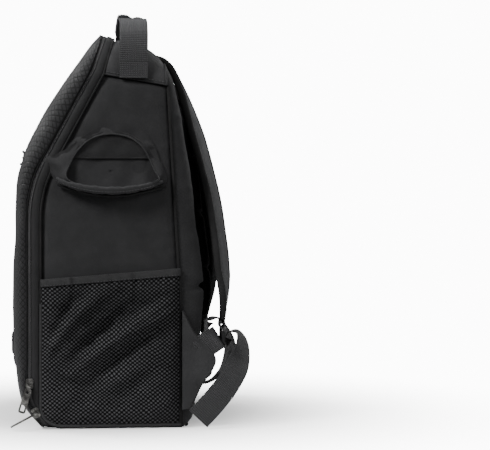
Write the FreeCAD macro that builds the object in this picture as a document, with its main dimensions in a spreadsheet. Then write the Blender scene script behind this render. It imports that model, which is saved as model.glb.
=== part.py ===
import FreeCAD, Part
import math
import os
import Sketcher

# A backpack-style carrying case for a drone, standing upright.
# Millimetres. +Z up, the zipped lid faces -Y, the shoulder straps are on +Y, and +X is the
# wearer's right. The origin is the middle of the bottom panel's resting face.

doc = FreeCAD.newDocument("CarryingCase")
sheet = doc.addObject("Spreadsheet::Sheet", "Sizes")
parts = []

SIZES = {
    # the case, seen from the side
    "case_width": 340.0,
    "wall": 5.0,
    "base_thick": 3.0,
    "front_face": 83.0,
    "back_face": 85.0,
    "foot_front": 62.0,
    "knee_height": 285.0,
    "seam_front_y": -8.0,
    "seam_front_z": 424.0,
    "seam_back_y": 69.0,
    "seam_back_z": 411.0,
    "yoke_front_y": 5.0,
    "yoke_front_z": 470.0,
    "yoke_back_y": 66.0,
    "yoke_back_z": 437.0,
    "lid_top_z": 474.0,
    "shoulder_radius": 52.0,
    "foot_radius": 20.0,
    "knee_radius": 140.0,
    # the closure
    "gusset_depth": 10.0,
    "chain_half": 2.7,
    "closure_gap": 0.6,
    "lid_skin": 4.0,
    "lid_bulge_y": -112.5,
    # back, straps and handle
    "back_pad_half": 168.0,
    "strap_width": 62.0,
    "strap_thick": 9.0,
    "web_width": 30.0,
    "web_thick": 2.0,
    "handle_web": 34.0,
    "handle_top": 500.0,
    "handle_radius": 55.0,
    # pockets and insert
    "pocket_bulge": 12.0,
    "foam": 8.0,
    "divider": 6.0,
    "shelf_low": 238.0,
    "shelf_high": 330.0,
    # zip hardware
    "pull_length": 33.0,
    "pull_width": 8.6,
    "pull_thick": 1.6,
    "slider_width": 9.0,
    "slider_length": 12.0,
}
for row, (alias, value) in enumerate(SIZES.items(), start=1):
    sheet.set("A%d" % row, alias)
    sheet.set("B%d" % row, str(value))
    sheet.setAlias("B%d" % row, alias)
doc.recompute()


class Dim:
    """A size that holds its spreadsheet expression beside its value."""

    def __init__(self, text, value):
        self.text = text
        self.value = float(value)

    def _join(self, sign, other, value):
        return Dim("(%s %s %s)" % (self.text, sign, other.text), value)

    def __add__(self, other):
        other = dim(other)
        return self._join("+", other, self.value + other.value)

    def __radd__(self, other):
        return dim(other) + self

    def __sub__(self, other):
        other = dim(other)
        return self._join("-", other, self.value - other.value)

    def __rsub__(self, other):
        return dim(other) - self

    def __mul__(self, other):
        other = dim(other)
        return self._join("*", other, self.value * other.value)

    def __rmul__(self, other):
        return dim(other) * self

    def __truediv__(self, other):
        other = dim(other)
        return self._join("/", other, self.value / other.value)

    def __neg__(self):
        return Dim("(0 - %s)" % self.text, -self.value)


def dim(value):
    """A number or Dim as a Dim."""
    return value if isinstance(value, Dim) else Dim("%.6g" % value, value)


def size(alias):
    """The sheet's cell of that name, as a Dim."""
    return Dim("Sizes." + alias, sheet.get(alias))


def bind(thing, prop, value):
    """Binds a property of a document object to a size."""
    thing.setExpression(prop, dim(value).text)


def keep(thing, label):
    """Marks a document object as a finished sub-part of that name."""
    thing.Label = label
    parts.append(thing)
    return thing


def new_body(label):
    body = doc.addObject("PartDesign::Body", label)
    body.Label = label
    return body


def origin_plane(body, role):
    return next(f for f in body.Origin.OriginFeatures if f.Role == role)


def new_sketch(body, name, plane, lift=0.0, tilt=0.0, up=0.0):
    """A sketch on an origin plane of its body. lift moves it along the plane's normal, up along its
    vertical axis, and tilt turns it about its horizontal axis."""
    drawn = body.newObject("Sketcher::SketchObject", name)
    drawn.AttachmentSupport = [(origin_plane(body, plane), "")]
    drawn.MapMode = "FlatFace"
    turn = FreeCAD.Rotation(FreeCAD.Vector(1, 0, 0), tilt)
    drawn.AttachmentOffset = FreeCAD.Placement(FreeCAD.Vector(0, up, lift), turn)
    return drawn


def name_last(drawn, index, name, value):
    drawn.renameConstraint(index, name)
    bind(drawn, "Constraints." + name, value)


def draw_polygon(drawn, corners):
    """A closed outline of straight lines whose every corner is bound to the sheet."""
    corners = [(dim(a), dim(b)) for a, b in corners]
    spots = [FreeCAD.Vector(a.value, b.value, 0) for a, b in corners]
    count = len(spots)
    first = drawn.GeometryCount
    for i in range(count):
        drawn.addGeometry(Part.LineSegment(spots[i], spots[(i + 1) % count]), False)
    for i in range(count):
        drawn.addConstraint(
            Sketcher.Constraint("Coincident", first + i, 2, first + (i + 1) % count, 1)
        )
    for i, (a, b) in enumerate(corners):
        for axis, letter, value in (("DistanceX", "x", a), ("DistanceY", "y", b)):
            index = drawn.addConstraint(
                Sketcher.Constraint(axis, -1, 1, first + i, 1, value.value)
            )
            name_last(drawn, index, "%s%d" % (letter, first + i), value)
    return drawn


def draw_arch(drawn, half, height, radius):
    """A closed arch: flat foot, upright sides and a top with two rounded corners."""
    half, height, radius = dim(half), dim(height), dim(radius)
    w, h, r = half.value, height.value, radius.value
    vec = FreeCAD.Vector
    axis = vec(0, 0, 1)
    arc_right = Part.ArcOfCircle(Part.Circle(vec(w - r, h - r, 0), axis, r), 0, math.pi / 2)
    arc_left = Part.ArcOfCircle(Part.Circle(vec(r - w, h - r, 0), axis, r), math.pi / 2, math.pi)
    for piece in (
        Part.LineSegment(vec(-w, 0, 0), vec(w, 0, 0)),
        Part.LineSegment(vec(w, 0, 0), vec(w, h - r, 0)),
        arc_right,
        Part.LineSegment(vec(w - r, h, 0), vec(r - w, h, 0)),
        arc_left,
        Part.LineSegment(vec(-w, h - r, 0), vec(-w, 0, 0)),
    ):
        drawn.addGeometry(piece, False)
    for rule in (
        ("Coincident", 0, 2, 1, 1),
        ("Tangent", 1, 2, 2, 1),
        ("Tangent", 2, 2, 3, 1),
        ("Tangent", 3, 2, 4, 1),
        ("Tangent", 4, 2, 5, 1),
        ("Coincident", 5, 2, 0, 1),
        ("Horizontal", 0),
        ("Horizontal", 3),
        ("Vertical", 1),
        ("Vertical", 5),
        ("Equal", 2, 4),
        ("PointOnObject", 0, 1, -1),
    ):
        drawn.addConstraint(Sketcher.Constraint(*rule))
    index = drawn.addConstraint(Sketcher.Constraint("Radius", 2, r))
    name_last(drawn, index, "radius", radius)
    index = drawn.addConstraint(Sketcher.Constraint("DistanceX", -1, 1, 0, 2, w))
    name_last(drawn, index, "right", half)
    index = drawn.addConstraint(Sketcher.Constraint("DistanceX", -1, 1, 0, 1, -w))
    name_last(drawn, index, "left", -half)
    index = drawn.addConstraint(Sketcher.Constraint("DistanceY", -1, 1, 3, 1, h))
    name_last(drawn, index, "height", height)
    return drawn


def pad(body, drawn, length, both_ways=False):
    feature = body.newObject("PartDesign::Pad", drawn.Name + "_Pad")
    feature.Profile = drawn
    bind(feature, "Length", length)
    feature.Midplane = both_ways
    drawn.Visibility = False
    return feature


def round_edges(body, base, picked, radius):
    """Fillets the edges of the body's last feature for which picked(edge) is true."""
    doc.recompute()
    names = ["Edge%d" % (i + 1) for i, e in enumerate(base.Shape.Edges) if picked(e)]
    feature = body.newObject("PartDesign::Fillet", base.Name + "_Round")
    feature.Base = (base, names)
    bind(feature, "Radius", radius)
    return feature


def at_corner(a, b, first, second):
    """Picks the edges that stand on a sketch corner: both ends have those two coordinates."""

    def picked(edge):
        return all(
            abs(getattr(v, first) - a) < 0.05 and abs(getattr(v, second) - b) < 0.05
            for v in edge.Vertexes
        )

    return picked


def side_plate(label, corners, thick, at_x, rounds=(), both_ways=False):
    """A plate whose outline is drawn in the side view (Y, Z) and padded along X from at_x.
    rounds lists (corner number, radius)."""
    body = new_body(label)
    drawn = draw_polygon(new_sketch(body, label + "_Outline", "YZ_Plane"), corners)
    feature = pad(body, drawn, thick, both_ways)
    for corner, radius in rounds:
        a, b = (dim(c).value for c in corners[corner])
        feature = round_edges(body, feature, at_corner(a, b, "Y", "Z"), radius)
    bind(body, "Placement.Base.x", at_x)
    return body


def envelope(label, half, top, shoulder, foot, depth=260.0):
    """The case's outline in the front view, as a long block along Y."""
    body = new_body(label)
    lift = dim(depth / 2)
    drawn = draw_arch(new_sketch(body, label + "_Outline", "XZ_Plane"), half, top, shoulder)
    feature = pad(body, drawn, depth)
    side = dim(half).value
    picked = at_corner(side, 0.0, "X", "Z")
    other = at_corner(-side, 0.0, "X", "Z")
    round_edges(body, feature, lambda edge: picked(edge) or other(edge), foot)
    bind(body, "Placement.Base.y", lift)
    return body


def boolean(kind, label, base, tool):
    made = doc.addObject("Part::" + kind, label)
    made.Base = base
    made.Tool = tool
    made.Label = label
    return made


def box(label, low, high):
    """A block between two corners whose coordinates are sizes."""
    block = doc.addObject("Part::Box", label)
    for prop, spot, a, b in zip(("Length", "Width", "Height"), "xyz", low, high):
        bind(block, prop, dim(b) - dim(a))
        bind(block, "Placement.Base." + spot, a)
    return block


def solid_feature(label, shape):
    """A sub-part whose shape is built directly, for ribbons that follow a free path."""
    made = doc.addObject("Part::Feature", label)
    made.Shape = shape
    return keep(made, label)


half = size("case_width") / 2
wall = size("wall")
inner = half - wall


def closure_line(off):
    """The front edge of the side panels moved outwards by off: foot, toe, shin, knee, seam, top."""
    off = dim(off)
    return [
        (-size("foot_front") - off * 1.05, size("base_thick")),
        (-size("foot_front") - 12 - off * 0.73, 14),
        (-size("front_face") - off, dim(27) + off * 1.2),
        (-size("front_face") - off, size("knee_height") + off * 0.25),
        (size("seam_front_y") - off * 0.88, size("seam_front_z") + off * 0.475),
        (size("yoke_front_y") - off * 0.8, size("yoke_front_z") + off * 0.25),
    ]


def closure_band(label, start, end, ring):
    """A band of the front closure between two distances in front of the side panels."""
    knee = size("knee_radius")
    corners = closure_line(start) + closure_line(end)[::-1]
    rounds = [(3, knee + start), (8, knee + end)]
    plate = side_plate(label + "_Side", corners, size("case_width"), 0, rounds, True)
    return boolean("Common", label, plate, ring)


# --- the case ---------------------------------------------------------------------------------

side_outline = closure_line(0)[:5] + [
    (size("seam_back_y"), size("seam_back_z")),
    (size("back_face"), size("base_thick")),
]
side_rounds = [(3, size("knee_radius"))]
keep(side_plate("side_panel_right", side_outline, wall, inner, side_rounds), "side_panel_right")
keep(side_plate("side_panel_left", side_outline, wall, -half, side_rounds), "side_panel_left")

bottom = new_body("bottom_panel")
foot_front = -size("foot_front")
bottom_outline = draw_polygon(
    new_sketch(bottom, "Bottom_Outline", "XY_Plane"),
    [
        (-half, foot_front),
        (half, foot_front),
        (half, size("back_face")),
        (-half, size("back_face")),
    ],
)
bottom_pad = pad(bottom, bottom_outline, size("base_thick"))
keep(bottom, "bottom_panel")

base_board = box(
    "base_board",
    (-inner + 1, foot_front + 6, size("base_thick")),
    (inner - 1, size("back_face") - 1, size("base_thick") + 3),
)
keep(base_board, "base_board")


def yoke_sections(body, kind, inset):
    """The top yoke's three arches, from the closure back over the top to the back seam."""
    tilt_front = math.degrees(math.atan2(
        SIZES["yoke_front_y"] - SIZES["seam_front_y"],
        SIZES["yoke_front_z"] - SIZES["seam_front_z"],
    ))
    tilt_back = math.degrees(math.atan2(
        SIZES["yoke_back_y"] - SIZES["seam_back_y"],
        SIZES["yoke_back_z"] - SIZES["seam_back_z"],
    ))
    middle_y, middle_z, middle_rise = 45.0, 415.1, 45.0
    stations = (
        (SIZES["seam_front_y"], SIZES["seam_front_z"], tilt_front, 47.8, 45.0),
        (middle_y, middle_z, 0.0, middle_rise, 42.0),
        (SIZES["seam_back_y"], SIZES["seam_back_z"], tilt_back, 26.2, 24.0),
    )
    sketches = []
    for number, (y, z, tilt, rise, radius) in enumerate(stations):
        drawn = new_sketch(
            body, "Yoke_%s%d" % (kind, number), "XZ_Plane", lift=-y, tilt=-tilt, up=z
        )
        draw_arch(drawn, half - inset, dim(rise) - inset, dim(radius) - inset)
        drawn.Visibility = False
        sketches.append(drawn)
    return sketches


yoke = new_body("top_yoke")
outer_arches = yoke_sections(yoke, "Outer", dim(0))
yoke_solid = yoke.newObject("PartDesign::AdditiveLoft", "Yoke_Solid")
yoke_solid.Profile = outer_arches[0]
yoke_solid.Sections = outer_arches[1:]
doc.recompute()
inner_arches = yoke_sections(yoke, "Inner", wall)
yoke_hollow = yoke.newObject("PartDesign::SubtractiveLoft", "Yoke_Hollow")
yoke_hollow.Profile = inner_arches[0]
yoke_hollow.Sections = inner_arches[1:]
keep(yoke, "top_yoke")

back_inner = [
    (size("back_face") + 0.4, 0),
    (size("seam_back_y") + 0.3, size("seam_back_z")),
    (size("yoke_back_y") + 0.3, size("yoke_back_z")),
]
back_outer = [(76, 423), (91, 345), (104, 240), (113, 175), (112, 120), (106, 60), (97, 3)]
back = side_plate(
    "back_panel", back_inner + back_outer + [(95, 0)], size("back_pad_half") * 2, 0, (), True
)
keep(back, "back_panel")

pad_outline = [
    (82.3, 392),
    (91.2, 345),
    (104.2, 240),
    (113.2, 175),
    (113.1, 165),
    (115, 167),
    (116.5, 178),
    (112.5, 242),
    (104, 298),
    (96, 345),
    (84, 394),
]
for side, start in (("right", 24.0), ("left", -126.0)):
    label = "back_pad_" + side
    keep(side_plate(label, pad_outline, dim(102), start), label)

# --- the closure between the case and its lid ---------------------------------------------------

shoulder = size("shoulder_radius")
foot = size("foot_radius")
full = envelope("Full_Envelope", half, size("lid_top_z"), shoulder, foot)
bare = envelope("Inner_Envelope", inner, size("lid_top_z") - wall, shoulder - wall, foot - wall)
ring = boolean("Cut", "Ring_Envelope", full, bare)

gusset_end = size("gusset_depth")
chain_case_end = gusset_end + size("chain_half")
chain_lid_start = chain_case_end + size("closure_gap")
chain_lid_end = chain_lid_start + size("chain_half")
keep(closure_band("zip_gusset", dim(0), gusset_end, ring), "zip_gusset")
keep(closure_band("zip_teeth_case", gusset_end, chain_case_end, ring), "zip_teeth_case")
keep(closure_band("zip_teeth_lid", chain_lid_start, chain_lid_end, ring), "zip_teeth_lid")

# --- the lid --------------------------------------------------------------------------------------

lid_front = [
    (-80.6, 3.6),
    (-104, 29.5),
    (size("lid_bulge_y"), 66),
    (size("lid_bulge_y"), 140),
    (-110.5, 250),
    (-106, 305),
    (-94, 350),
    (-58, 408),
    (-30, 449),
    (-15, 468),
    (-9, 473.5),
]


skin = size("lid_skin")
core_front = [
    (size("lid_bulge_y") + skin, 67),
    (size("lid_bulge_y") + skin, 140),
    (dim(-110.5) + skin, 249),
    (-101.8, 303),
    (-90, 347),
    (-54.4, 405),
    (-27, 442),
]


def lid_core(label, start, shift, low, outline):
    """A block inside the lid's skin, from the closure distance start up to the skin less shift,
    whose inner foot is at the height low."""
    shin, knee, seam = closure_line(start)[2:5]
    front = [(dim(a) + shift, b) for a, b in core_front[::-1]]
    front[0] = (front[0][0] + shift * 2, dim(core_front[-1][1]) - shift * 6)
    corners = [(shin[0], low), knee, seam] + front
    plate = side_plate(
        label + "_Side", corners, inner * 2, 0, [(1, size("knee_radius"))], True
    )
    return boolean("Common", label, plate, outline)


lid_side = side_plate(
    "Lid_Side", closure_line(chain_lid_end) + lid_front[::-1], size("case_width"), 0,
    [(3, size("knee_radius") + chain_lid_end)], True,
)
lid_whole = boolean("Common", "Lid_Whole", lid_side, full)

lid_hollow = lid_core("Lid_Hollow", chain_lid_end - 2, 0, 50, bare)
keep(boolean("Cut", "lid_shell", lid_whole, lid_hollow), "lid_shell")
small = envelope("Lining_Envelope", inner - 1, size("lid_top_z") - 8, shoulder - 8, foot - 6)
keep(lid_core("lid_foam", chain_lid_end + 2.6, 0.4, 60, small), "lid_foam")
liner_line = closure_line(chain_lid_end + 0.2)[2:5]
liner_front = closure_line(chain_lid_end + 2.4)[2:5][::-1]
liner_side = side_plate(
    "Lid_Liner_Side",
    [(liner_line[0][0], 60)] + liner_line[1:] + liner_front[:2] + [(liner_front[2][0], 60)],
    inner * 2 - 2,
    0,
    [(1, size("knee_radius")), (4, size("knee_radius") + 2.2)],
    True,
)
keep(boolean("Common", "lid_liner", liner_side, small), "lid_liner")

pocket_front = [(-116.3, 70), (-117.5, 84), (-117.4, 140), (-115, 255), (-108.4, 318)]
pocket_back = [(-103.6, 315), (-106.3, 305), (-110.7, 253), (-112.7, 140), (-112.7, 72)]
keep(
    side_plate("lid_pocket", pocket_front + pocket_back, dim(272), 0, (), True),
    "lid_pocket",
)
pocket_zip = [(-107.4, 319.4), (-103.9, 331), (-99.5, 329.5), (-102.8, 317.6)]
keep(side_plate("lid_pocket_zip", pocket_zip, dim(262), 0, (), True), "lid_pocket_zip")
keep(
    side_plate("lid_badge", [(-117.7, 84.5), (-117.5, 112), (-119.3, 112), (-119.5, 84.5)],
               dim(52), 60),
    "lid_badge",
)
organiser_face = closure_line(chain_lid_end)[2][0]
keep(
    side_plate(
        "lid_organiser",
        [
            (organiser_face + 9, 62),
            (organiser_face + 11, 76),
            (organiser_face + 9, 232),
            (organiser_face, 234),
            (organiser_face, 60),
        ],
        dim(250),
        0,
        (),
        True,
    ),
    "lid_organiser",
)

# --- side pockets -----------------------------------------------------------------------------------


def open_pocket(label, corners, cavity, depth, skin_thick, outward):
    """A pocket sewn flat to a side panel: a shell of depth, hollow behind its skin and open on top.
    outward is 1 on the right side and -1 on the left."""
    start = half + 0.2 if outward > 0 else -half - 0.2 - depth
    cavity_start = half + 0.2 if outward > 0 else -half - 0.2 - depth + skin_thick
    block = side_plate(label + "_Block", corners, depth, start)
    space = side_plate(label + "_Space", cavity, depth - skin_thick, cavity_start)
    return keep(boolean("Cut", label, block, space), label)


bulge = size("pocket_bulge")
open_pocket(
    "mesh_pocket",
    [(-78, 4), (-82, 12), (-82, 172), (79, 185), (84, 12), (82, 4)],
    [(-78, 9), (-79, 176), (76, 188), (80, 9)],
    bulge,
    dim(2),
    1,
)
keep(
    side_plate(
        "mesh_pocket_binding",
        [(-82, 172.2), (-82, 178.5), (79, 191.5), (79, 185.2)],
        dim(2.6),
        half + 0.2 + bulge - 2.3,
    ),
    "mesh_pocket_binding",
)
open_pocket(
    "ripstop_pocket",
    [(-78, 4), (-82, 12), (-83, 188), (76, 289), (84, 12), (82, 4)],
    [(-78, 9), (-80, 195), (73, 293), (80, 9)],
    bulge + 3,
    dim(2),
    -1,
)
keep(
    side_plate(
        "ripstop_pocket_binding",
        [(-83, 188.3), (-83, 198), (76, 299), (76, 289.3)],
        dim(3),
        -half - 0.2 - bulge - 3 - 0.6,
    ),
    "ripstop_pocket_binding",
)
pouch_mouth = [(-56, 296), (-50, 318), (-28, 344), (-8, 351), (22, 351), (44, 336), (56, 312), (60, 298)]
pouch_block = side_plate(
    "Pouch_Block",
    [
        (-60, 293), (-76, 304), (-72, 322), (-50, 334), (-31, 348), (-9, 355),
        (23, 355), (48, 340), (60, 315), (66, 292), (40, 284), (0, 279), (-40, 284),
    ],
    dim(20),
    half + 0.2,
)
pouch_space = side_plate("Pouch_Space", pouch_mouth + [(0, 288)], dim(18.2), half + 2)
keep(boolean("Cut", "side_pouch", pouch_block, pouch_space), "side_pouch")

# --- strap wings, handle and its anchors --------------------------------------------------------------

wing = [(86, 141), (102, 112), (126, 85), (96, 26), (86, 22)]
keep(side_plate("wing_right", wing, dim(3), half + 0.4), "wing_right")
keep(side_plate("wing_left", wing, dim(3), -half - 3.4), "wing_left")

web = size("handle_web")
handle_mid = 28.0
web_thick = 2.5
anchor_low, anchor_high = 420.0, 437.0


def handle_anchor(outward):
    start = SIZES["case_width"] / 2 * outward
    low = min(start, start + web_thick * outward)
    return Part.makeBox(
        web_thick,
        SIZES["handle_web"],
        anchor_high - anchor_low,
        FreeCAD.Vector(low, handle_mid - SIZES["handle_web"] / 2, anchor_low),
    )


solid_feature("handle_anchors", Part.makeCompound([handle_anchor(1), handle_anchor(-1)]))


def ribbon(stations, width, thick):
    """A band swept through stations of (centre, direction of its width, direction of its face)."""
    rings = []
    for centre, across, face in stations:
        middle = FreeCAD.Vector(*centre)
        side = FreeCAD.Vector(*across)
        side.normalize()
        out = FreeCAD.Vector(*face)
        out = out - side * out.dot(side)
        out.normalize()
        spots = [
            middle + side * (width / 2 * a) + out * (thick / 2 * b)
            for a, b in ((-1, -1), (1, -1), (1, 1), (-1, 1))
        ]
        rings.append(Part.makePolygon(spots + spots[:1]))
    return Part.makeLoft(rings, True, True)


leg_x = SIZES["case_width"] / 2 + web_thick * 1.5 + 0.3
bend = SIZES["handle_radius"]
handle_top = SIZES["handle_top"]
loop_stations = []
for outward in (1, -1):
    leg = [((leg_x * outward, handle_mid, anchor_low + 8), (0, 1, 0), (outward, 0, 0))]
    for step in range(0, 7):
        turn = math.radians(15 * step)
        centre = (
            outward * (leg_x - bend + bend * math.cos(turn)),
            handle_mid,
            handle_top - bend + bend * math.sin(turn),
        )
        leg.append((centre, (0, 1, 0), (outward * math.cos(turn), 0, math.sin(turn))))
    loop_stations += leg if outward > 0 else leg[::-1]
solid_feature("handle_webbing", ribbon(loop_stations, SIZES["handle_web"], web_thick))

grip_half = 98.0
grip_outer = box("Grip_Outer", (-grip_half, handle_mid - 19, handle_top - 5.5),
                 (grip_half, handle_mid + 19, handle_top + 6.5))
grip_space = box("Grip_Space", (-grip_half - 1, handle_mid - 17.1, handle_top - web_thick / 2 - 0.1),
                 (grip_half + 1, handle_mid + 17.1, handle_top + web_thick / 2 + 0.1))
keep(boolean("Cut", "handle_grip", grip_outer, grip_space), "handle_grip")

# --- shoulder straps --------------------------------------------------------------------------------

strap_line = [
    (72, 440, 40),
    (84, 426, 30),
    (98, 390, 20),
    (113, 340, 15),
    (125, 290, 12),
    (133, 245, 8),
    (137.5, 200, 3),
    (139, 160, 0),
    (137, 124, -4),
]
strap_top_x, strap_foot_x = 82.0, 140.0


def strap_x(z):
    """The strap's middle in X: it leans outwards from its top seam to its foot."""
    top_z, foot_z = strap_line[0][1], strap_line[-1][1]
    return strap_top_x + (strap_foot_x - strap_top_x) * (top_z - z) / (top_z - foot_z)


def strap(outward):
    stations = []
    for y, z, lean in strap_line:
        turn = math.radians(lean)
        face = (0, math.cos(turn), math.sin(turn))
        stations.append(((outward * strap_x(z), y, z), (1, 0, 0), face))
    return ribbon(stations, SIZES["strap_width"], SIZES["strap_thick"])


def ladder_lock(outward):
    """A plastic two-slot adjuster hung from the strap's foot."""
    foot_y, foot_z = strap_line[-1][:2]
    frame_width, frame_height, frame_thick = 42.0, 26.0, 5.0
    slot_width, slot_height, bar = 33.0, 6.5, 4.0
    low = FreeCAD.Vector(
        outward * strap_foot_x - frame_width / 2, foot_y - frame_thick / 2, foot_z - 3.2 - frame_height
    )
    frame = Part.makeBox(frame_width, frame_thick, frame_height, low)
    for rise in (bar, bar * 2 + slot_height):
        corner = low + FreeCAD.Vector((frame_width - slot_width) / 2, -1, rise)
        frame = frame.cut(Part.makeBox(slot_width, frame_thick + 2, slot_height, corner))
    return frame


right_tail = [
    ((140, 144.6, 111), (1, 0.05, 0.05), (0, 0.6, 0.8)),
    ((142, 154, 116), (1, 0.1, 0.1), (0, 0.8, 0.5)),
    ((147, 161, 106), (0.95, 0.3, 0.1), (-0.2, 0.9, 0.0)),
    ((156, 159, 86), (0.7, 0.6, 0.4), (-0.4, 0.6, -0.4)),
    ((166, 148, 66), (0.35, 0.8, 0.5), (0.9, -0.3, -0.2)),
    ((175, 134, 46), (0.15, 0.8, 0.58), (0.95, -0.1, -0.1)),
    ((184, 118, 31), (0.1, 0.8, 0.6), (0.95, -0.1, -0.1)),
    ((189, 107, 19), (0.1, 0.8, 0.6), (0.95, -0.1, -0.1)),
]
left_tail = [
    ((-140, 144.6, 111), (1, -0.05, 0), (0, 0.7, 0.7)),
    ((-142, 157, 102), (1, -0.1, 0), (0, 0.8, 0.6)),
    ((-147, 170, 80), (1, -0.3, 0), (-0.3, 0.9, 0.3)),
    ((-153, 174, 58), (0.95, -0.3, 0.1), (0, 1, 0)),
    ((-160, 166, 36), (0.8, -0.4, 0.4), (0.2, 0.8, -0.6)),
    ((-167, 148, 20), (0.5, -0.5, 0.7), (-0.5, 0.3, -0.8)),
    ((-172, 126, 18), (0.3, -0.1, 0.9), (-0.9, 0.1, 0.2)),
    ((-176, 108, 19), (0.2, 0, 1), (-1, 0, 0.2)),
]
right_feed = [
    ((174.8, 112, 97), (0, 0.66, -0.75), (1, 0, 0)),
    ((174.2, 119, 102), (0.06, 0.64, -0.75), (1, 0.1, 0.1)),
    ((168, 126, 106), (0.35, 0.5, -0.7), (0.8, 0.5, 0.2)),
    ((156, 130, 107), (0.8, 0.1, -0.5), (0.3, 0.9, 0.1)),
    ((146, 131.4, 109), (1, 0, -0.1), (0, 1, 0)),
]
left_feed = [((-x, y, z), (-a, b, c), (-d, e, f)) for (x, y, z), (a, b, c), (d, e, f) in right_feed]

web_wide, web_thin = SIZES["web_width"], SIZES["web_thick"]
for side, outward, feed, tail in (
    ("right", 1, right_feed, right_tail),
    ("left", -1, left_feed, left_tail),
):
    solid_feature("strap_" + side, strap(outward))
    solid_feature("ladder_lock_" + side, ladder_lock(outward))
    solid_feature("adjuster_web_" + side, ribbon(feed, web_wide, web_thin))
    solid_feature("web_tail_" + side, ribbon(tail, web_wide, web_thin))

# --- trolley band and care label on the back -------------------------------------------------------------

band_low, band_high = 108.0, 146.0
band_reach = 118.0
band_stations = []
for step in range(-6, 7):
    share = step / 6.0
    x = band_reach * share
    y = 127.0 - 12.0 * share * share
    centre = (x, y, (band_low + band_high) / 2)
    band_stations.append((centre, (0, 0, 1), (0.2 * share, 1, 0)))
solid_feature("trolley_band", ribbon(band_stations, band_high - band_low, 2.0))
solid_feature(
    "care_label",
    Part.makeBox(1.0, 24.0, 19.0, FreeCAD.Vector(-150, 106.6, 38)),
)

# --- padded insert ---------------------------------------------------------------------------------------

foam = size("foam")
room = inner - 0.5
insert_back_x = [
    (size("back_face") - 0.9, 7),
    (size("seam_back_y") - 0.4, 405),
    (size("seam_back_y") - 0.4 - foam, 405),
    (size("back_face") - 0.9 - foam, 7),
]
keep(side_plate("insert_back", insert_back_x, room * 2, 0, (), True), "insert_back")
insert_side = [
    (-57, 7),
    (-69, 18),
    (-size("front_face") + 5, 31),
    (-size("front_face") + 5, size("knee_height") - 6),
    (size("seam_front_y") - 2, 408),
    (size("seam_back_y") - 0.8 - foam, 405),
    (size("back_face") - 1.3 - foam, 7),
]
keep(side_plate("insert_side_right", insert_side, foam, room - foam), "insert_side_right")
keep(side_plate("insert_side_left", insert_side, foam, -room), "insert_side_left")
gap = room - foam - 0.3


def shelf(label, low, front):
    """A padded shelf from side to side, touching the insert's back."""
    slant = (SIZES["back_face"] - SIZES["seam_back_y"]) / (SIZES["seam_back_z"] - SIZES["base_thick"])
    back_y = size("back_face") - 1.5 - foam - slant * dim(low)
    return keep(box(label, (-gap, front, low), (gap, back_y, dim(low) + foam)), label)


shelf("insert_floor", dim(7), dim(-76))
shelf("shelf_lower", size("shelf_low"), dim(-72))
shelf("shelf_upper", size("shelf_high"), dim(-44))
for side, centre in (("right", 52.0), ("left", -52.0)):
    label = "divider_" + side
    keep(
        box(
            label,
            (dim(centre) - size("divider") / 2, -60, size("shelf_low") + foam + 0.3),
            (dim(centre) + size("divider") / 2, 58, size("shelf_high") - 0.3),
        ),
        label,
    )

# --- zip hardware ------------------------------------------------------------------------------------------

ORIGIN, ALONG_X = FreeCAD.Vector(0, 0, 0), FreeCAD.Vector(1, 0, 0)
ALONG_Y, ALONG_Z = FreeCAD.Vector(0, 1, 0), FreeCAD.Vector(0, 0, 1)
body_thick = 3.2
pin_radius, eye_radius, knuckle_radius = 0.8, 1.0, 1.9
knuckle_length = 4.0
pin_stand = body_thick + 2.2


def slider_block(turn):
    """The slider's die-cast body in the plane X = 0, travelling along Z before it is turned."""
    width, length = SIZES["slider_width"], SIZES["slider_length"]
    block = Part.makeBox(body_thick, width, length, FreeCAD.Vector(0, -width / 2, -length / 2))
    corners = [e for e in block.Edges if abs(e.Vertexes[0].X - e.Vertexes[-1].X) > 1]
    block = block.makeFillet(2.6, corners)
    block.rotate(ORIGIN, ALONG_X, turn)
    return block


def slider(turn, pin_turn, drop):
    """A slider whose pull hangs from a pin between two ears, drop below its middle."""
    ears = []
    for edge in (-knuckle_length / 2 - 1.2, knuckle_length / 2 + 0.2):
        ear = Part.makeBox(pin_stand + 1.2 - body_thick + 0.6, 1.0, 3.2,
                           FreeCAD.Vector(body_thick - 0.6, edge, -1.6))
        ears.append(ear)
    pin = Part.makeCylinder(pin_radius, knuckle_length + 1.6,
                            FreeCAD.Vector(pin_stand, -knuckle_length / 2 - 0.8, 0), ALONG_Y)
    ears = ears[0].fuse(ears[1]).fuse(pin)
    ears.rotate(ORIGIN, ALONG_X, pin_turn)
    ears.translate(FreeCAD.Vector(0, 0, -drop))
    return slider_block(turn).fuse(ears)


def pull(length, width, thick):
    """A pull tab hanging along -Z from a knuckle at the origin whose eye runs along Y."""
    plate = Part.makeBox(thick, width, length - 3, FreeCAD.Vector(-thick / 2, -width / 2, -length))
    corners = [e for e in plate.Edges if abs(e.Vertexes[0].X - e.Vertexes[-1].X) > 0.5]
    plate = plate.makeFillet(width * 0.28, corners)
    neck = Part.makeBox(thick, knuckle_length, 5, FreeCAD.Vector(-thick / 2, -knuckle_length / 2, -5))
    low = FreeCAD.Vector(0, -knuckle_length / 2, 0)
    knuckle = Part.makeCylinder(knuckle_radius, knuckle_length, low, ALONG_Y)
    eye = Part.makeCylinder(eye_radius, knuckle_length, low, ALONG_Y)
    slot = Part.makeBox(
        thick * 2, width * 0.52, length * 0.22, FreeCAD.Vector(-thick, -width * 0.26, -length + 2.4)
    )
    hole = Part.makeCylinder(width * 0.2, thick * 2, FreeCAD.Vector(-thick, 0, -7.5), ALONG_X)
    return plate.fuse(neck).fuse(knuckle).cut(eye).cut(slot).cut(hole)


def placed(shape, moves, spot):
    """The shape turned by each (axis, degrees) in order and then moved to its spot."""
    for axis, degrees in moves:
        shape.rotate(ORIGIN, axis, degrees)
    shape.translate(FreeCAD.Vector(*spot))
    return shape


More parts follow.
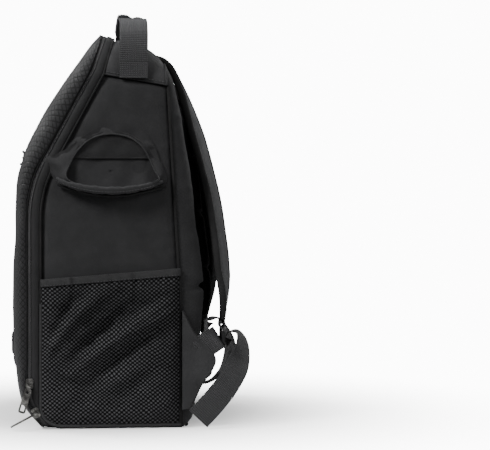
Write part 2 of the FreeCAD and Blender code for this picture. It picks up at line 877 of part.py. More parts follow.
pull_size = (SIZES["pull_length"], SIZES["pull_width"], SIZES["pull_thick"])
face_x = SIZES["case_width"] / 2 + 0.3
chain_y = -SIZES["front_face"] - SIZES["gusset_depth"] - SIZES["chain_half"] - SIZES["closure_gap"] / 2
upper_z, pin_drop, pull_lean = 55.0, 3.0, -17.0
solid_feature(
    "slider_upper", placed(slider(0, pull_lean, pin_drop), [], (face_x, chain_y, upper_z))
)
solid_feature(
    "pull_upper",
    placed(pull(*pull_size), [(ALONG_X, pull_lean)],
           (face_x + pin_stand, chain_y, upper_z - pin_drop)),
)

lower_y, lower_z, stud_reach, stud_seat = chain_y + 7.5, 20.0, 10.6, 7.8
stud = Part.makeCylinder(pin_radius, stud_reach, FreeCAD.Vector(body_thick - 0.5, 0, 0), ALONG_X)
stud_head = Part.makeCylinder(
    1.7, 0.8, FreeCAD.Vector(body_thick - 0.5 + stud_reach, 0, 0), ALONG_X
)
lower_block = slider_block(22).fuse(stud).fuse(stud_head)
solid_feature("slider_lower", placed(lower_block, [], (face_x, lower_y, lower_z)))
solid_feature(
    "pull_lower",
    placed(pull(*pull_size), [(ALONG_Z, 90), (ALONG_X, -62)],
           (face_x + body_thick + stud_seat, lower_y, lower_z)),
)

pocket_moves = [(ALONG_Z, -90), (ALONG_X, -16)]
pocket_spot = FreeCAD.Vector(-118, -106.2, 325.4)
solid_feature("pocket_slider", placed(slider(90, 0, 0), pocket_moves, pocket_spot))
pocket_pin = FreeCAD.Rotation(ALONG_X, -16).multVec(FreeCAD.Vector(0, -pin_stand, 0))
solid_feature(
    "pocket_pull",
    placed(pull(28.0, 7.0, SIZES["pull_thick"]), [(ALONG_Z, -90), (ALONG_X, -9)],
           pocket_spot + pocket_pin),
)

# --- checks and export ---------------------------------------------------------------------------------------

doc.recompute()
for thing in doc.Objects:
    bad = {"Invalid", "Error"} & set(thing.State)
    if bad:
        raise SystemExit("%s is %s" % (thing.Label, sorted(bad)))
for thing in parts:
    if thing.Shape.isNull() or not thing.Shape.isValid() or not thing.Shape.Solids:
        raise SystemExit("%s has no valid solid" % thing.Label)

os.makedirs("parts", exist_ok=True)
for thing in parts:
    thing.Shape.exportStep(os.path.join("parts", thing.Label + ".step"))
print("%d nodes written" % len(parts))
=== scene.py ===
import math
import bmesh
import bpy
import numpy as np
from numpy import interp, linspace
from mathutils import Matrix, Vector


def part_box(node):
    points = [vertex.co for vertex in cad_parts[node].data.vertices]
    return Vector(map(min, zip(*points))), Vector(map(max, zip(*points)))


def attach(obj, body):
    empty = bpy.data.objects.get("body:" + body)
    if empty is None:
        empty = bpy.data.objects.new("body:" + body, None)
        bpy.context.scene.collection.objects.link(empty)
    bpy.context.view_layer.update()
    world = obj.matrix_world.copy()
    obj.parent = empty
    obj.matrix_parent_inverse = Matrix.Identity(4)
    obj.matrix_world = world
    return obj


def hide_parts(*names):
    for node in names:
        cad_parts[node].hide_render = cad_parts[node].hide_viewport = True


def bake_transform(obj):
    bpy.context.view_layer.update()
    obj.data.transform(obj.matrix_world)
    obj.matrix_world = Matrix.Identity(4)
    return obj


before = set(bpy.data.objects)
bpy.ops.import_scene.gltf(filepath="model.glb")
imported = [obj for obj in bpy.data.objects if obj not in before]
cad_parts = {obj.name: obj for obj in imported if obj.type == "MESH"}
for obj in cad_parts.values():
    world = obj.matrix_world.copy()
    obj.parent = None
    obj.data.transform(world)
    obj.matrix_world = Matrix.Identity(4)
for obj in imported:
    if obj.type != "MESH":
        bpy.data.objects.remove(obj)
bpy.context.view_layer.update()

# A backpack-style drone case. Every length below is in millimetres and is turned into metres
# when a mesh is made. +Z is up, the lid faces -Y, the straps are on +Y.

MM = 0.001
SIDES = ((1, "right"), (-1, "left"))
HALF, TOP, ARCH, FOOT = 170.0, 470.0, 52.0, 20.0   # half width, top, and the two corner radii
WEB, HANDLE_WEB = 30.0, 34.0                       # widths of the webbing
BOARD_GAP = 0.4                                    # a foam board's clearance on each side
SIM_FRAMES, SIM_PRESSURE = 20, 4.0
ROOM_LIGHT, BACKDROP = 0.24, 12.0

# --- curves and surfaces ---

def clamp(value):
    return np.clip(value, 0, 1)


def joined(*parts):
    return np.concatenate(parts)


def columns(*parts):
    return np.stack(parts, axis=1)


def layers(*parts):
    return np.stack(parts, axis=2)


def lattice(a, b):
    return np.meshgrid(a, b, indexing="ij")


def smooth(points, count):
    """A smooth curve through the points (any number of columns, the first three are x, y, z)."""
    p = np.asarray(points, float)
    d = np.maximum(np.linalg.norm(np.diff(p[:, :3], axis=0), axis=1), 1e-6)
    t = joined([0], np.cumsum(d))
    slope = np.diff(p, axis=0) / d[:, None]
    m = np.empty_like(p)
    m[0], m[-1] = slope[0], slope[-1]
    w = d[1:, None]
    v = d[:-1, None]
    m[1:-1] = (slope[:-1] * w + slope[1:] * v) / (w + v)
    s = linspace(0, t[-1], count)
    i = np.clip(np.searchsorted(t, s, side="right") - 1, 0, len(p) - 2)
    h = d[i][:, None]
    x = ((s - t[i]) / d[i])[:, None]
    return ((2 * x**3 - 3 * x**2 + 1) * p[i] + (x**3 - 2 * x**2 + x) * h * m[i]
        + (-2 * x**3 + 3 * x**2) * p[i + 1] + (x**3 - x**2) * h * m[i + 1])


def resample(points, count):
    """Evenly spaced points along straight runs."""
    p = np.asarray(points, float)
    t = joined([0], np.cumsum(np.linalg.norm(np.diff(p, axis=0), axis=1)))
    s = linspace(0, t[-1], count)
    return np.stack([interp(s, t, p[:, k]) for k in range(p.shape[1])], axis=1)


def rounded(points, corner, radius, steps=14):
    """A 2-D line of runs with one corner turned into an arc."""
    p = [np.asarray(q, float) for q in points]
    a, b, c = p[corner - 1], p[corner], p[corner + 1]
    u, v = (a - b) / np.linalg.norm(a - b), (c - b) / np.linalg.norm(c - b)
    half = math.acos(np.clip(u @ v, -1, 1)) / 2
    reach = radius / math.tan(half)
    centre = b + (u + v) / np.linalg.norm(u + v) * radius / math.sin(half)
    start, end = b + u * reach - centre, b + v * reach - centre
    angle = math.pi - 2 * half
    arc = []
    for k in range(steps + 1):
        f = k / steps
        arc.append(centre + (start * math.sin((1 - f) * angle) + end * math.sin(f * angle))
            / math.sin(angle))
    return np.array(p[:corner] + arc + p[corner + 1:])


def waves(a, b, length, seed, count=9):
    """A smooth uneven field of about unit size with features of about this length."""
    rng = np.random.RandomState(seed)
    out = 0
    for k in range(count):
        turn, size, phase = rng.uniform(0, 6.28), length * rng.uniform(0.7, 1.6), rng.uniform(0,
            6.28)
        out = out + np.sin((a * math.cos(turn) + b * math.sin(turn)) * 6.283 / size + phase)
    return out / math.sqrt(count)


def fade(distance, reach):
    """0 at a seam, rising to 1 over about this reach."""
    return 1 - np.exp(-np.maximum(distance, 0) / reach)


def bump(x, centre, width):
    return np.exp(-((x - centre) / width) ** 2)


def unit(v):
    return v / np.maximum(np.linalg.norm(v, axis=-1, keepdims=True), 1e-9)


def grid_normals(P, wrap=False):
    if wrap:
        Q = np.concatenate([P[:, -1:], P, P[:, :1]], axis=1)
        dv = (Q[:, 2:] - Q[:, :-2])
    else:
        dv = np.gradient(P, axis=1)
    return unit(np.cross(np.gradient(P, axis=0), dv))


def grid_faces(nu, nv, wrap=False, start=0, flip=False):
    faces = []
    last = nv if wrap else nv - 1
    for i in range(nu - 1):
        for j in range(last):
            k = (j + 1) % nv
            quad = (i * nv + j, i * nv + k, (i + 1) * nv + k, (i + 1) * nv + j)
            quad = tuple(q + start for q in quad)
            faces.append(quad[::-1] if flip else quad)
    return faces


def metric_uv(P):
    """Cloth coordinates in metres, measured along the surface's own rows and columns."""
    du = np.linalg.norm(np.diff(P, axis=0), axis=2).mean(axis=1)
    dv = np.linalg.norm(np.diff(P, axis=1), axis=2).mean(axis=0)
    u = joined([0], np.cumsum(du))
    v = joined([0], np.cumsum(dv))
    return np.stack(lattice(u, v), axis=2) * MM


# --- pieces ---

def piece(name, verts, faces, look, body, uv=None, replaces=(), angle=42):
    """A mesh object with a material. body is None for a piece that bends."""
    mesh = bpy.data.meshes.new(name)
    verts = np.asarray(verts, float).reshape(-1, 3) * MM
    mesh.from_pydata(verts.tolist(), [], faces)
    if uv is None:
        uv = verts[:, :2]
    uv = np.asarray(uv, float).reshape(-1, 2)
    layer = mesh.uv_layers.new(name="cloth")
    loops = np.empty(len(mesh.loops), dtype=np.int32)
    mesh.loops.foreach_get("vertex_index", loops)
    layer.data.foreach_set("uv", uv[loops].ravel())
    work = bmesh.new()
    work.from_mesh(mesh)
    bmesh.ops.recalc_face_normals(work, faces=work.faces)
    work.to_mesh(mesh)
    work.free()
    mesh.polygons.foreach_set("use_smooth", [True] * len(mesh.polygons))
    mesh.set_sharp_from_angle(angle=math.radians(angle))
    mesh.materials.append(LOOKS[look][0])
    made = bpy.data.objects.new(name, mesh)
    bpy.context.scene.collection.objects.link(made)
    if body:
        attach(made, body)
    if replaces:
        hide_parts(*replaces)
    return made


def slab(name, P, thick, look, body, replaces=(), uv=None, side=1, **more):
    """A sheet of cloth: the grid P is its outer face. uv may name two of P's axes."""
    nu, nv = P.shape[:2]
    N = grid_normals(P) * side
    t = np.broadcast_to(np.asarray(thick, float), (nu, nv))[:, :, None]
    Q = P - N * t
    if isinstance(uv, str):
        uv = P[:, :, ["xyz".index(k) for k in uv]] * MM
    elif uv is None:
        uv = metric_uv(P)
    verts = joined(P.reshape(-1, 3), Q.reshape(-1, 3))
    uvs = np.concatenate([uv.reshape(-1, 2)] * 2)
    n = nu * nv
    faces = grid_faces(nu, nv) + grid_faces(nu, nv, start=n, flip=True)
    rim = ([(i, 0) for i in range(nu)] + [(nu - 1, j) for j in range(1, nv)]
        + [(i, nv - 1) for i in range(nu - 2, -1, -1)] + [(0, j) for j in range(nv - 2, 0, -1)])
    ids = [i * nv + j for i, j in rim]
    for a, b in zip(ids, ids[1:] + ids[:1]):
        faces.append((a, b, b + n, a + n))
    return piece(name, verts, faces, look, body, uvs, replaces, **more)


def oval(width, thick, power=2.5, count=20):
    """A rounded flat section."""
    a = linspace(0, 2 * math.pi, count, endpoint=False)
    c, s = np.cos(a), np.sin(a)
    return columns(np.sign(c) * np.abs(c) ** (2 / power) * width / 2, np.sign(s)
        * np.abs(s) ** (2 / power) * thick / 2)


def sweep(name, path, across, section, look, body, replaces=(), scale=None, closed=False, **more):
    """Carries a section along a path. across is the section's first direction at each point."""
    path = np.asarray(path, float)
    n, m = len(path), len(section)
    if closed:
        tangent = unit(np.roll(path, -1, axis=0) - np.roll(path, 1, axis=0))
    else:
        tangent = unit(np.gradient(path, axis=0))
    across = np.broadcast_to(np.asarray(across, float), path.shape)
    A = unit(across - tangent * (across * tangent).sum(axis=1, keepdims=True))
    B = np.cross(tangent, A)
    sec = np.broadcast_to(np.asarray(section, float), (n, m, 2))
    if scale is not None:
        sec = sec * np.asarray(scale, float).reshape(n, 1, -1)
    P = path[:, None] + A[:, None] * sec[:, :, :1] + B[:, None] * sec[:, :, 1:]
    along = joined([0], np.cumsum(np.linalg.norm(np.diff(path, axis=0), axis=1)))
    uv = layers(sec[:, :, 0], np.broadcast_to(along[:, None], (n, m))) * MM
    faces = grid_faces(n, m, wrap=True)
    if closed:
        faces += [((n - 1) * m + j, (n - 1) * m + (j + 1) % m, (j + 1) % m, j) for j in range(m)]
    else:
        faces += [tuple(range(m))[::-1], tuple((n - 1) * m + j for j in range(m))]
    return piece(name, P, faces, look, body, uv, replaces, **more)


def tube(name, path, radius, look, body, replaces=(), sides=10, **more):
    """A round bead, cord or piping along a path."""
    path = np.asarray(path, float)
    tangent = unit(np.gradient(path, axis=0))
    guide = np.array([0.31, 0.52, 0.79])
    across = np.cross(tangent, guide)
    r = np.broadcast_to(np.asarray(radius, float), (len(path),))
    return sweep(name, path, across, oval(2, 2, 2, sides), look, body, replaces, scale=r[:, None],
        **more)


def stitches(name, runs, body, look="thread", pitch=4.2, length=2.9, radius=0.38):
    """Rows of separate stitches along paths."""
    verts, faces = [], []
    ring = [(math.cos(a), math.sin(a)) for a in linspace(0, 2 * math.pi, 5, endpoint=False)]
    for path in runs:
        path = np.asarray(path, float)
        d = joined([0], np.cumsum(np.linalg.norm(np.diff(path, axis=0), axis=1)))
        for s in np.arange(pitch / 2, d[-1] - pitch / 2, pitch):
            ends = [np.array([interp(s + e, d, path[:, k]) for k in range(3)])
                for e in (-length / 2, length / 2)]
            t = unit(ends[1] - ends[0])
            a = unit(np.cross(t, [0.3, 0.5, 0.8]))
            b = np.cross(t, a)
            first = len(verts)
            for f, r in ((0.0, 0.25), (0.2, 1.0), (0.8, 1.0), (1.0, 0.25)):
                c = ends[0] + (ends[1] - ends[0]) * f
                verts += [c + (a * x + b * y) * radius * r for x, y in ring]
            for k in range(3):
                for j in range(5):
                    i0, i1 = first + k * 5 + j, first + k * 5 + (j + 1) % 5
                    faces.append((i0, i1, i1 + 5, i0 + 5))
            faces.append(tuple(first + j for j in range(5))[::-1])
            faces.append(tuple(first + 15 + j for j in range(5)))
    return piece(name, verts, faces, look, body, angle=80)


# --- materials ---

class Net:
    """Builds a material from maths on cloth coordinates."""

    def __init__(self, name):
        self.material = bpy.data.materials.new(name)
        self.material.use_nodes = True
        self.tree = self.material.node_tree
        self.shader = self.tree.nodes["Principled BSDF"]
        cloth = self.new("ShaderNodeUVMap")
        cloth.uv_map = "cloth"
        parts = self.new("ShaderNodeSeparateXYZ")
        self.link(cloth.outputs[0], parts.inputs[0])
        self.u, self.v = parts.outputs[0], parts.outputs[1]
        self.place = self.new("ShaderNodeTexCoord").outputs["Object"]

    def new(self, kind):
        return self.tree.nodes.new(kind)

    def link(self, a, b):
        self.tree.links.new(a, b)

    def feed(self, socket, value):
        if isinstance(value, (int, float)):
            socket.default_value = value
        else:
            self.link(value, socket)

    def do(self, op, *values):
        node = self.new("ShaderNodeMath")
        node.operation = op
        for socket, value in zip(node.inputs, values):
            self.feed(socket, value)
        return node.outputs[0]

    def add(self, a, b):
        return self.do("ADD", a, b)

    def mul(self, a, b):
        return self.do("MULTIPLY", a, b)

    def sine(self, a, period, shift=0.0):
        return self.do("SINE", self.do("MULTIPLY_ADD", a, 2 * math.pi / period, shift))

    def ramp(self, value, low, high, out_low=0.0, out_high=1.0):
        node = self.new("ShaderNodeMapRange")
        node.interpolation_type = "SMOOTHSTEP"
        for socket, v in zip(node.inputs, (value, low, high, out_low, out_high)):
            self.feed(socket, v)
        return node.outputs[0]

    def noise(self, scale, detail=3.0, rough=0.55, stretch=(1, 1, 1)):
        spot = self.new("ShaderNodeMapping")
        spot.inputs["Scale"].default_value = stretch
        self.link(self.place, spot.inputs[0])
        node = self.new("ShaderNodeTexNoise")
        node.inputs["Scale"].default_value = scale
        node.inputs["Detail"].default_value = detail
        node.inputs["Roughness"].default_value = rough
        self.link(spot.outputs[0], node.inputs["Vector"])
        return node.outputs[0]

    def blend(self, factor, a, b):
        node = self.new("ShaderNodeMix")
        node.data_type = "RGBA"
        self.feed(node.inputs["Factor"], factor)
        for socket, colour in ((node.inputs[6], a), (node.inputs[7], b)):
            if isinstance(colour, tuple):
                socket.default_value = (*colour, 1.0)
            else:
                self.link(colour, socket)
        return node.outputs[2]

    def bump(self, height, distance, strength=1.0, below=None):
        node = self.new("ShaderNodeBump")
        node.inputs["Strength"].default_value = strength
        node.inputs["Distance"].default_value = distance
        self.link(height, node.inputs["Height"])
        if below is not None:
            self.link(below, node.inputs["Normal"])
        return node.outputs[0]

    def finish(self, colour, rough, normal=None, sheen=0.0, metal=0.0, specular=0.3):
        s = self.shader.inputs
        if isinstance(colour, tuple):
            s["Base Color"].default_value = (*colour, 1.0)
        else:
            self.link(colour, s["Base Color"])
        self.feed(s["Roughness"], rough)
        s["Metallic"].default_value = metal
        s["Specular IOR Level"].default_value = specular
        s["Sheen Weight"].default_value = sheen
        s["Sheen Roughness"].default_value = 0.5
        s["Sheen Tint"].default_value = (0.8, 0.82, 0.86, 1.0)
        if normal is not None:
            self.link(normal, s["Normal"])
        return self.material


def grey(value, blue=1.06):
    return (value, value, value * blue)


def cloth_tones(net, dark, light):
    """Uneven dye and lint: a soft tone over the cloth and fine specks."""
    soft = net.ramp(net.noise(9.0, 3.0), 0.32, 0.68)
    speck = net.ramp(net.noise(900.0, 2.0, 0.7), 0.56, 0.8)
    tone = net.blend(soft, dark, light)
    return net.blend(net.mul(speck, 0.4), tone, tuple(min(1.0, c * 2.4) for c in light))


def plain_weave(name, level, thread=0.00085, rough=0.78, sheen=0.03, depth=0.00022):
    net = Net(name)
    checker = net.mul(net.sine(net.u, thread * 2), net.sine(net.v, thread * 2))
    shade = net.ramp(checker, -0.9, 0.9)
    base = cloth_tones(net, grey(level * 0.86), grey(level * 1.16))
    colour = net.blend(net.mul(shade, 0.35), base, grey(level * 0.45))
    fine = net.bump(net.add(checker, net.mul(net.noise(1500.0), 0.8)), depth, 0.8)
    soft = net.bump(net.noise(60.0, 4.0), 0.0012, 0.35, below=fine)
    return net.finish(colour, net.ramp(net.noise(40.0), 0.3, 0.7, rough - 0.06, rough + 0.07),
        soft, sheen)


def ripstop(name, level, pitch=0.0049, gloss=0.34):
    net = Net(name)
    lines = None
    for sign in (1.0, -1.0):
        run = net.do("MULTIPLY_ADD", net.v, sign, net.u)
        part = net.do("ABSOLUTE", net.do("SINE", net.mul(run, math.pi / (pitch * math.sqrt(2)))))
        lines = part if lines is None else net.do("MINIMUM", lines, part)
    line = net.ramp(lines, 0.2, 0.55, 1.0, 0.0)
    fine = net.mul(net.sine(net.u, 0.0011), net.sine(net.v, 0.0011))
    base = cloth_tones(net, grey(level * 0.88), grey(level * 1.14))
    colour = net.blend(net.mul(line, 0.9), base, grey(level * 0.06))
    height = net.add(net.mul(line, -1.0), net.mul(fine, 0.16))
    weave = net.bump(height, 0.0005, 0.75)
    soft = net.bump(net.noise(70.0, 4.0), 0.0012, 0.3, below=weave)
    return net.finish(colour, net.ramp(net.noise(30.0), 0.3, 0.7, 0.56, 0.7), soft, 0.02,
        specular=gloss)


def knit_mesh(name, level, pitch=0.0036, hole=0.25, back=0.008, turns=(90, 210, 330), warp=0.0):
    """A net of threads round holes whose near-black colour is the dark cloth behind plus painted
    shade, pulled out of line where warp is above zero.
    """
    net = Net(name)
    u, v = net.u, net.v
    if warp:
        u = net.do("MULTIPLY_ADD", net.noise(24.0), warp, u)
        v = net.do("MULTIPLY_ADD", net.noise(31.0), warp, v)
    total = None
    for turn in turns:
        a = math.radians(turn)
        run = net.do("MULTIPLY_ADD", u, math.cos(a), net.mul(v, math.sin(a)))
        part = net.do("COSINE", net.mul(run, 2 * math.pi / (pitch * 0.866)))
        total = part if total is None else net.add(total, part)
    open_part = net.ramp(total, hole - 0.35, hole + 0.65)
    base = cloth_tones(net, grey(level * 0.85), grey(level * 1.2))
    # painted shade: the holes take the near-black colour back, darker than the cloth behind the net
    colour = net.blend(open_part, base, grey(back))
    height = net.add(net.mul(open_part, -1.0), net.mul(net.noise(1200.0), 0.2))
    return net.finish(colour, net.ramp(open_part, 0.0, 1.0, 0.62, 0.9),
        net.bump(height, 0.0007, 0.9), 0.01, specular=0.1)


def ribbed(name, level, rib=0.0024, across=0.0042, depth=0.0006, rough=0.6):
    """Webbing and tape: ribs across the run with a herringbone step."""
    net = Net(name)
    step = net.do("ABSOLUTE", net.sine(net.u, across))
    ribs = net.sine(net.add(net.v, net.mul(step, 0.0009)), rib)
    cords = net.sine(net.u, across / 2)
    height = net.add(net.mul(ribs, 0.75), net.mul(cords, 0.35))
    base = cloth_tones(net, grey(level * 0.88), grey(level * 1.18))
    # painted shade: the grooves between ribs are coloured darker the deeper they lie
    colour = net.blend(net.ramp(height, -1.0, 0.1, 0.9, 0.0), base, grey(level * 0.15))
    return net.finish(colour, rough, net.bump(height, depth, 0.9), 0.03)


def moulded(name, level, rough, specular=0.5):
    net = Net(name)
    grain = net.bump(net.noise(900.0, 3.0), 0.00015, 0.35)
    return net.finish(net.blend(net.noise(25.0), grey(level * 0.85), grey(level * 1.15)),
        net.ramp(net.noise(220.0), 0.3, 0.7, rough - 0.05, rough + 0.06), grain, specular=specular)


def plated(name):
    net = Net(name)
    wear = net.ramp(net.noise(160.0, 5.0, 0.7), 0.42, 0.66)
    colour = net.blend(wear, (0.07, 0.069, 0.066), (0.24, 0.236, 0.226))
    scratch = net.bump(net.noise(420.0, 4.0, 0.6, (1, 1, 6)), 0.0002, 0.45)
    return net.finish(colour, net.ramp(net.noise(200.0, 3.0), 0.3, 0.7, 0.26, 0.46), scratch,
        metal=1.0)


def badge_rubber(name):
    """A blank moulded patch with one yellow rule, in cloth coordinates from its lower corner."""
    net = Net(name)
    rule = net.mul(net.ramp(net.v, 0.0050, 0.0055), net.ramp(net.v, 0.0095, 0.0100, 1.0, 0.0))
    ends = net.mul(net.ramp(net.u, 0.008, 0.009), net.ramp(net.u, 0.043, 0.044, 1.0, 0.0))
    mask = net.mul(rule, ends)
    base = net.blend(net.noise(40.0), grey(0.018), grey(0.03))
    colour = net.blend(mask, base, (0.74, 0.5, 0.01))
    return net.finish(colour, 0.5, net.bump(net.add(mask, net.mul(net.noise(800.0), 0.2)), 0.0004,
        0.6))


LOOKS = {"nylon": (plain_weave("Plain_Nylon", 0.0145), "plain_nylon"),
    "nylon_light": (plain_weave("Yoke_Nylon", 0.019, rough=0.68), "plain_nylon"),
    "nylon_dark": (plain_weave("Gusset_Nylon", 0.009), "plain_nylon"),
    "strap_nylon": (plain_weave("Strap_Nylon", 0.016, rough=0.7), "padded_nylon"),
    # painted light and shade: the side pocket and the lid share one ripstop cloth, given here as a
    # lighter, glossier copy for the pocket and a darker, duller one for the lid
    "ripstop": (ripstop("Pocket_Ripstop_Painted_Light", 0.027), "ripstop"),
    "lid_ripstop_painted_shade": (ripstop("Lid_Ripstop_Painted_Shade", 0.0115, gloss=0.16), "ripstop"),
    # painted shade: the back colours 0.0003 and 0.0025 below make the holes of both meshes
    # near-black
    "mesh": (knit_mesh("Pocket_Mesh", 0.040, 0.0042, -0.45, 0.0003, (50, 130), 0.008), "mesh"),
    "air_mesh": (knit_mesh("Back_Air_Mesh", 0.010, pitch=0.0026, hole=0.6, back=0.0025), "mesh"),
    "binding": (ribbed("Binding_Tape", 0.014, rib=0.0012, across=0.003, depth=0.0002), "binding"),
    "webbing": (ribbed("Ribbed_Webbing", 0.030), "webbing"),
    "grip": (ribbed("Grip_Tape", 0.022, rib=0.0014, across=0.0028, depth=0.00025), "padded_nylon"),
    "coil": (moulded("Zip_Coil", 0.016, 0.42), "zip_coil"),
    "tape": (ribbed("Zip_Tape", 0.008, rib=0.001, across=0.002, depth=0.00015), "zip_coil"),
    "acetal": (moulded("Black_Acetal", 0.008, 0.34), "acetal"),
    "zinc": (plated("Dull_Zinc"), "zinc"),
    "lining": (plain_weave("Brushed_Lining", 0.10, thread=0.0007, rough=0.9, sheen=0.15),
    "foam_lining"), "label": (plain_weave("Label_Tape", 0.5, thread=0.0004, rough=0.6, sheen=0.1),
    "label"), "badge": (badge_rubber("Badge_Rubber"), "badge"),
    # painted shadow: Seam_Shadow is near-black; piping, seams, strap edges and one tube under the
    # pouch lip take it as the shade along them
    "seam": (plain_weave("Seam_Shadow", 0.0025, sheen=0.0), "binding"),
    "thread": (moulded("Sewing_Thread", 0.034, 0.6), "plain_nylon"),}

# --- the closure's ring, from the part's own sizes ---


def closure(off):
    """The side panel's front edge moved out by off, in the side view, as fine runs."""
    runs = [(-62 - 1.05 * off, 3), (-74 - 0.73 * off, 14), (-83 - off, 27 + 1.2 * off),
        (-83 - off, 285 + 0.25 * off), (-8 - 0.88 * off, 424 + 0.475 * off),
        (5 - 0.8 * off, TOP + 0.25 * off)]
    line = rounded(runs, 3, 140 + off)
    low = smooth([(a, b, 0) for a, b in line[:3]], 12)[:, :2]
    return joined(low[:-1], line[2:])


def half_at(z, top=474.0):
    z = np.asarray(z, float)
    out = np.full_like(z, HALF)
    high = clamp((z - (top - ARCH)) / ARCH)
    out = out - ARCH * (1 - np.sqrt(1 - high**2))
    low = clamp((FOOT - z) / FOOT)
    return out - FOOT * (1 - np.sqrt(np.maximum(1 - low**2, 0)))


def ring(off, lift=0.0, low=120, high=26, flat=24):
    """A path on the closure, up the right side, over the top and down the left."""
    line = closure(off)
    top = TOP + 0.25 * off
    z0 = top - ARCH
    z = joined(linspace(line[0, 1], z0, low, endpoint=False), z0 + ARCH
        * np.sin(linspace(0, math.pi / 2, high)))
    y = interp(z, line[:, 1], line[:, 0])
    x = half_at(z, top)
    nx = clamp((x - (HALF - ARCH)) / ARCH)
    nz = clamp((z - z0) / ARCH)
    right = columns(x + nx * lift, y, z + nz * lift)
    span = linspace(right[-1, 0], -right[-1, 0], flat)[1:-1]
    over = columns(span, np.full_like(span, right[-1, 1]), np.full_like(span, right[-1, 2]))
    left = right[::-1] * [-1, 1, 1]
    return joined(right, over, left)


def ring_band(name, offs, lifts, thick, look, body, ripple=0.0, seed=1, replaces=(), **more):
    P = np.stack([ring(o, l) for o, l in zip(offs, lifts)], axis=1)
    s = np.cumsum(np.linalg.norm(np.gradient(P[:, 0], axis=0), axis=1))
    if ripple:
        N = grid_normals(P)
        field = waves(s, s * 0, 46, seed)[:, None] * np.sin(linspace(0, math.pi, len(offs)))
        P = P + N * field[:, :, None] * ripple
    return slab(name, P, thick, look, body, replaces, **more)


ring_band("gusset_band", [0.6, 1.4, 3, 5, 7, 8.8, 9.7, 10.1],
    [-2.6, -0.6, 0.5, 0.9, 0.9, 0.5, -0.5, -2.0], 1.4, "nylon_dark", "case", 0.35, 3,
    ["zip_gusset"], side=-1)
ring_band("zip_tape_case", [9.6, 11, 12.75], [-1.4, -1.1, -1.1], 0.7, "tape", "case",
    replaces=["zip_teeth_case"], side=-1)
ring_band("zip_tape_lid", [13.3, 15, 17.2], [-1.1, -1.1, -1.4], 0.7, "tape", "lid",
    replaces=["zip_teeth_lid"], side=-1)


def coil(name, path, radius, body, pitch=1.9):
    """A zip coil: a bead ridged once per tooth."""
    length = np.linalg.norm(np.diff(path, axis=0), axis=1).sum()
    fine = resample(path, int(length / pitch * 4))
    r = radius * (1 + 0.22 * np.cos(np.arange(len(fine)) * math.pi / 2))
    return tube(name, fine, r, "coil", body, sides=8, angle=80)


coil("zip_coil_case", ring(12.2, -0.2), 1.05, "case")
coil("zip_coil_lid", ring(13.9, -0.2), 1.05, "lid")
# the piping bead is real; its near-black colour is painted shadow in the seam
tube("side_piping", ring(-0.3, 0.6), 1.5, "seam", "case", sides=10)


def yoke_lining():
    """Dark cloth inside the top, over the seams of the yoke."""
    t, x = lattice(linspace(0, 1, 24), linspace(4.5 - HALF, HALF - 4.5, 50))
    y = interp(t, [0, 0.35, 0.7, 1], [67.0, 60.5, 40.0, 12.0])
    z = interp(t, [0, 0.35, 0.7, 1], [403.0, 431.0, 445.0, 456.0])
    z = z - clamp((np.abs(x) - 118) / 52) ** 2.2 * 40 * clamp((z - 404) / 50)
    slab("yoke_lining", layers(x, y, z), 1.0, "nylon_dark", "case")
    for sign, side in SIDES:
        y, z = lattice(linspace(-2, 64, 24), linspace(0, 1, 16))
        z = 398 + (interp(y, [-2, 36, 64], [446, 442, 424]) - 398) * z
        x = np.minimum(HALF - 3.6, np.vectorize(half_at)(z) - 3.6)
        y = y + clamp((z - 410) / 36) * 12 * clamp((30 - y) / 30)
        slab("yoke_side_lining_" + side, layers(sign * x, y, z), 0.9, "nylon_dark", "case",
            side=sign)


yoke_lining()
ring_band("gusset_lining", (-15.0, -6.0, 0.6), (-6.5, -4.6, -2.6), 1.0, "nylon_dark", "case")
stitches("gusset_stitches", [ring(2.6, 0.75), ring(6.4, 0.9)], "case", pitch=4.4)

# --- side panels ---

BACK_SEAM = np.array([(85, 3), (84.6, 80), (84, 156), (79, 238), (74, 326), (69, 411)], float)


def yoke_edge(y, start=424):
    """Height of the seam between a side panel and the yoke."""
    return start - (y + 8) * 13 / 77


def side_skin(outward, seed, name, node):
    line = closure(0)
    nv, nu = 150, 70
    v = linspace(0, 1, nv)
    zl, zr = 3.4 + 420.4 * v, 3.4 + 407.4 * v
    yl = interp(zl, line[:, 1], line[:, 0]) + 0.6
    yr = interp(zr, BACK_SEAM[:, 1], BACK_SEAM[:, 0]) - 0.4
    u = linspace(0, 1, nu)[:, None]
    y = yl + (yr - yl) * u
    z = zl + (zr - zl) * u
    dl, dr, db, dt = y - yl, yr - y, z - 3, yoke_edge(y) - z
    body = fade(dl, 6) * fade(dr, 6) * fade(db, 6) * fade(dt, 5)
    x = HALF - 3.2 + 5.2 * body + 0.7 * waves(y, z, 120, seed) * body
    x = x - 0.9 * np.abs(waves(z, y * 0.2, 24, seed + 5)) * np.exp(-dr / 12) * fade(dr, 2)
    x = x - 0.5 * np.abs(waves(z, y * 0.2, 30, seed + 6)) * np.exp(-dl / 9) * fade(dl, 2)
    x = x + 0.9 * bump(y + 0.12 * z, 75, 10) * fade(dt, 25) * bump(z, 340, 70)
    P = layers(x * outward, y, z)
    slab(name, P, 3.0, "nylon", "case", [node], uv="yz", side=outward)


side_skin(1, 11, "side_skin_right", "side_panel_right")
side_skin(-1, 23, "side_skin_left", "side_panel_left")

# --- yoke ---

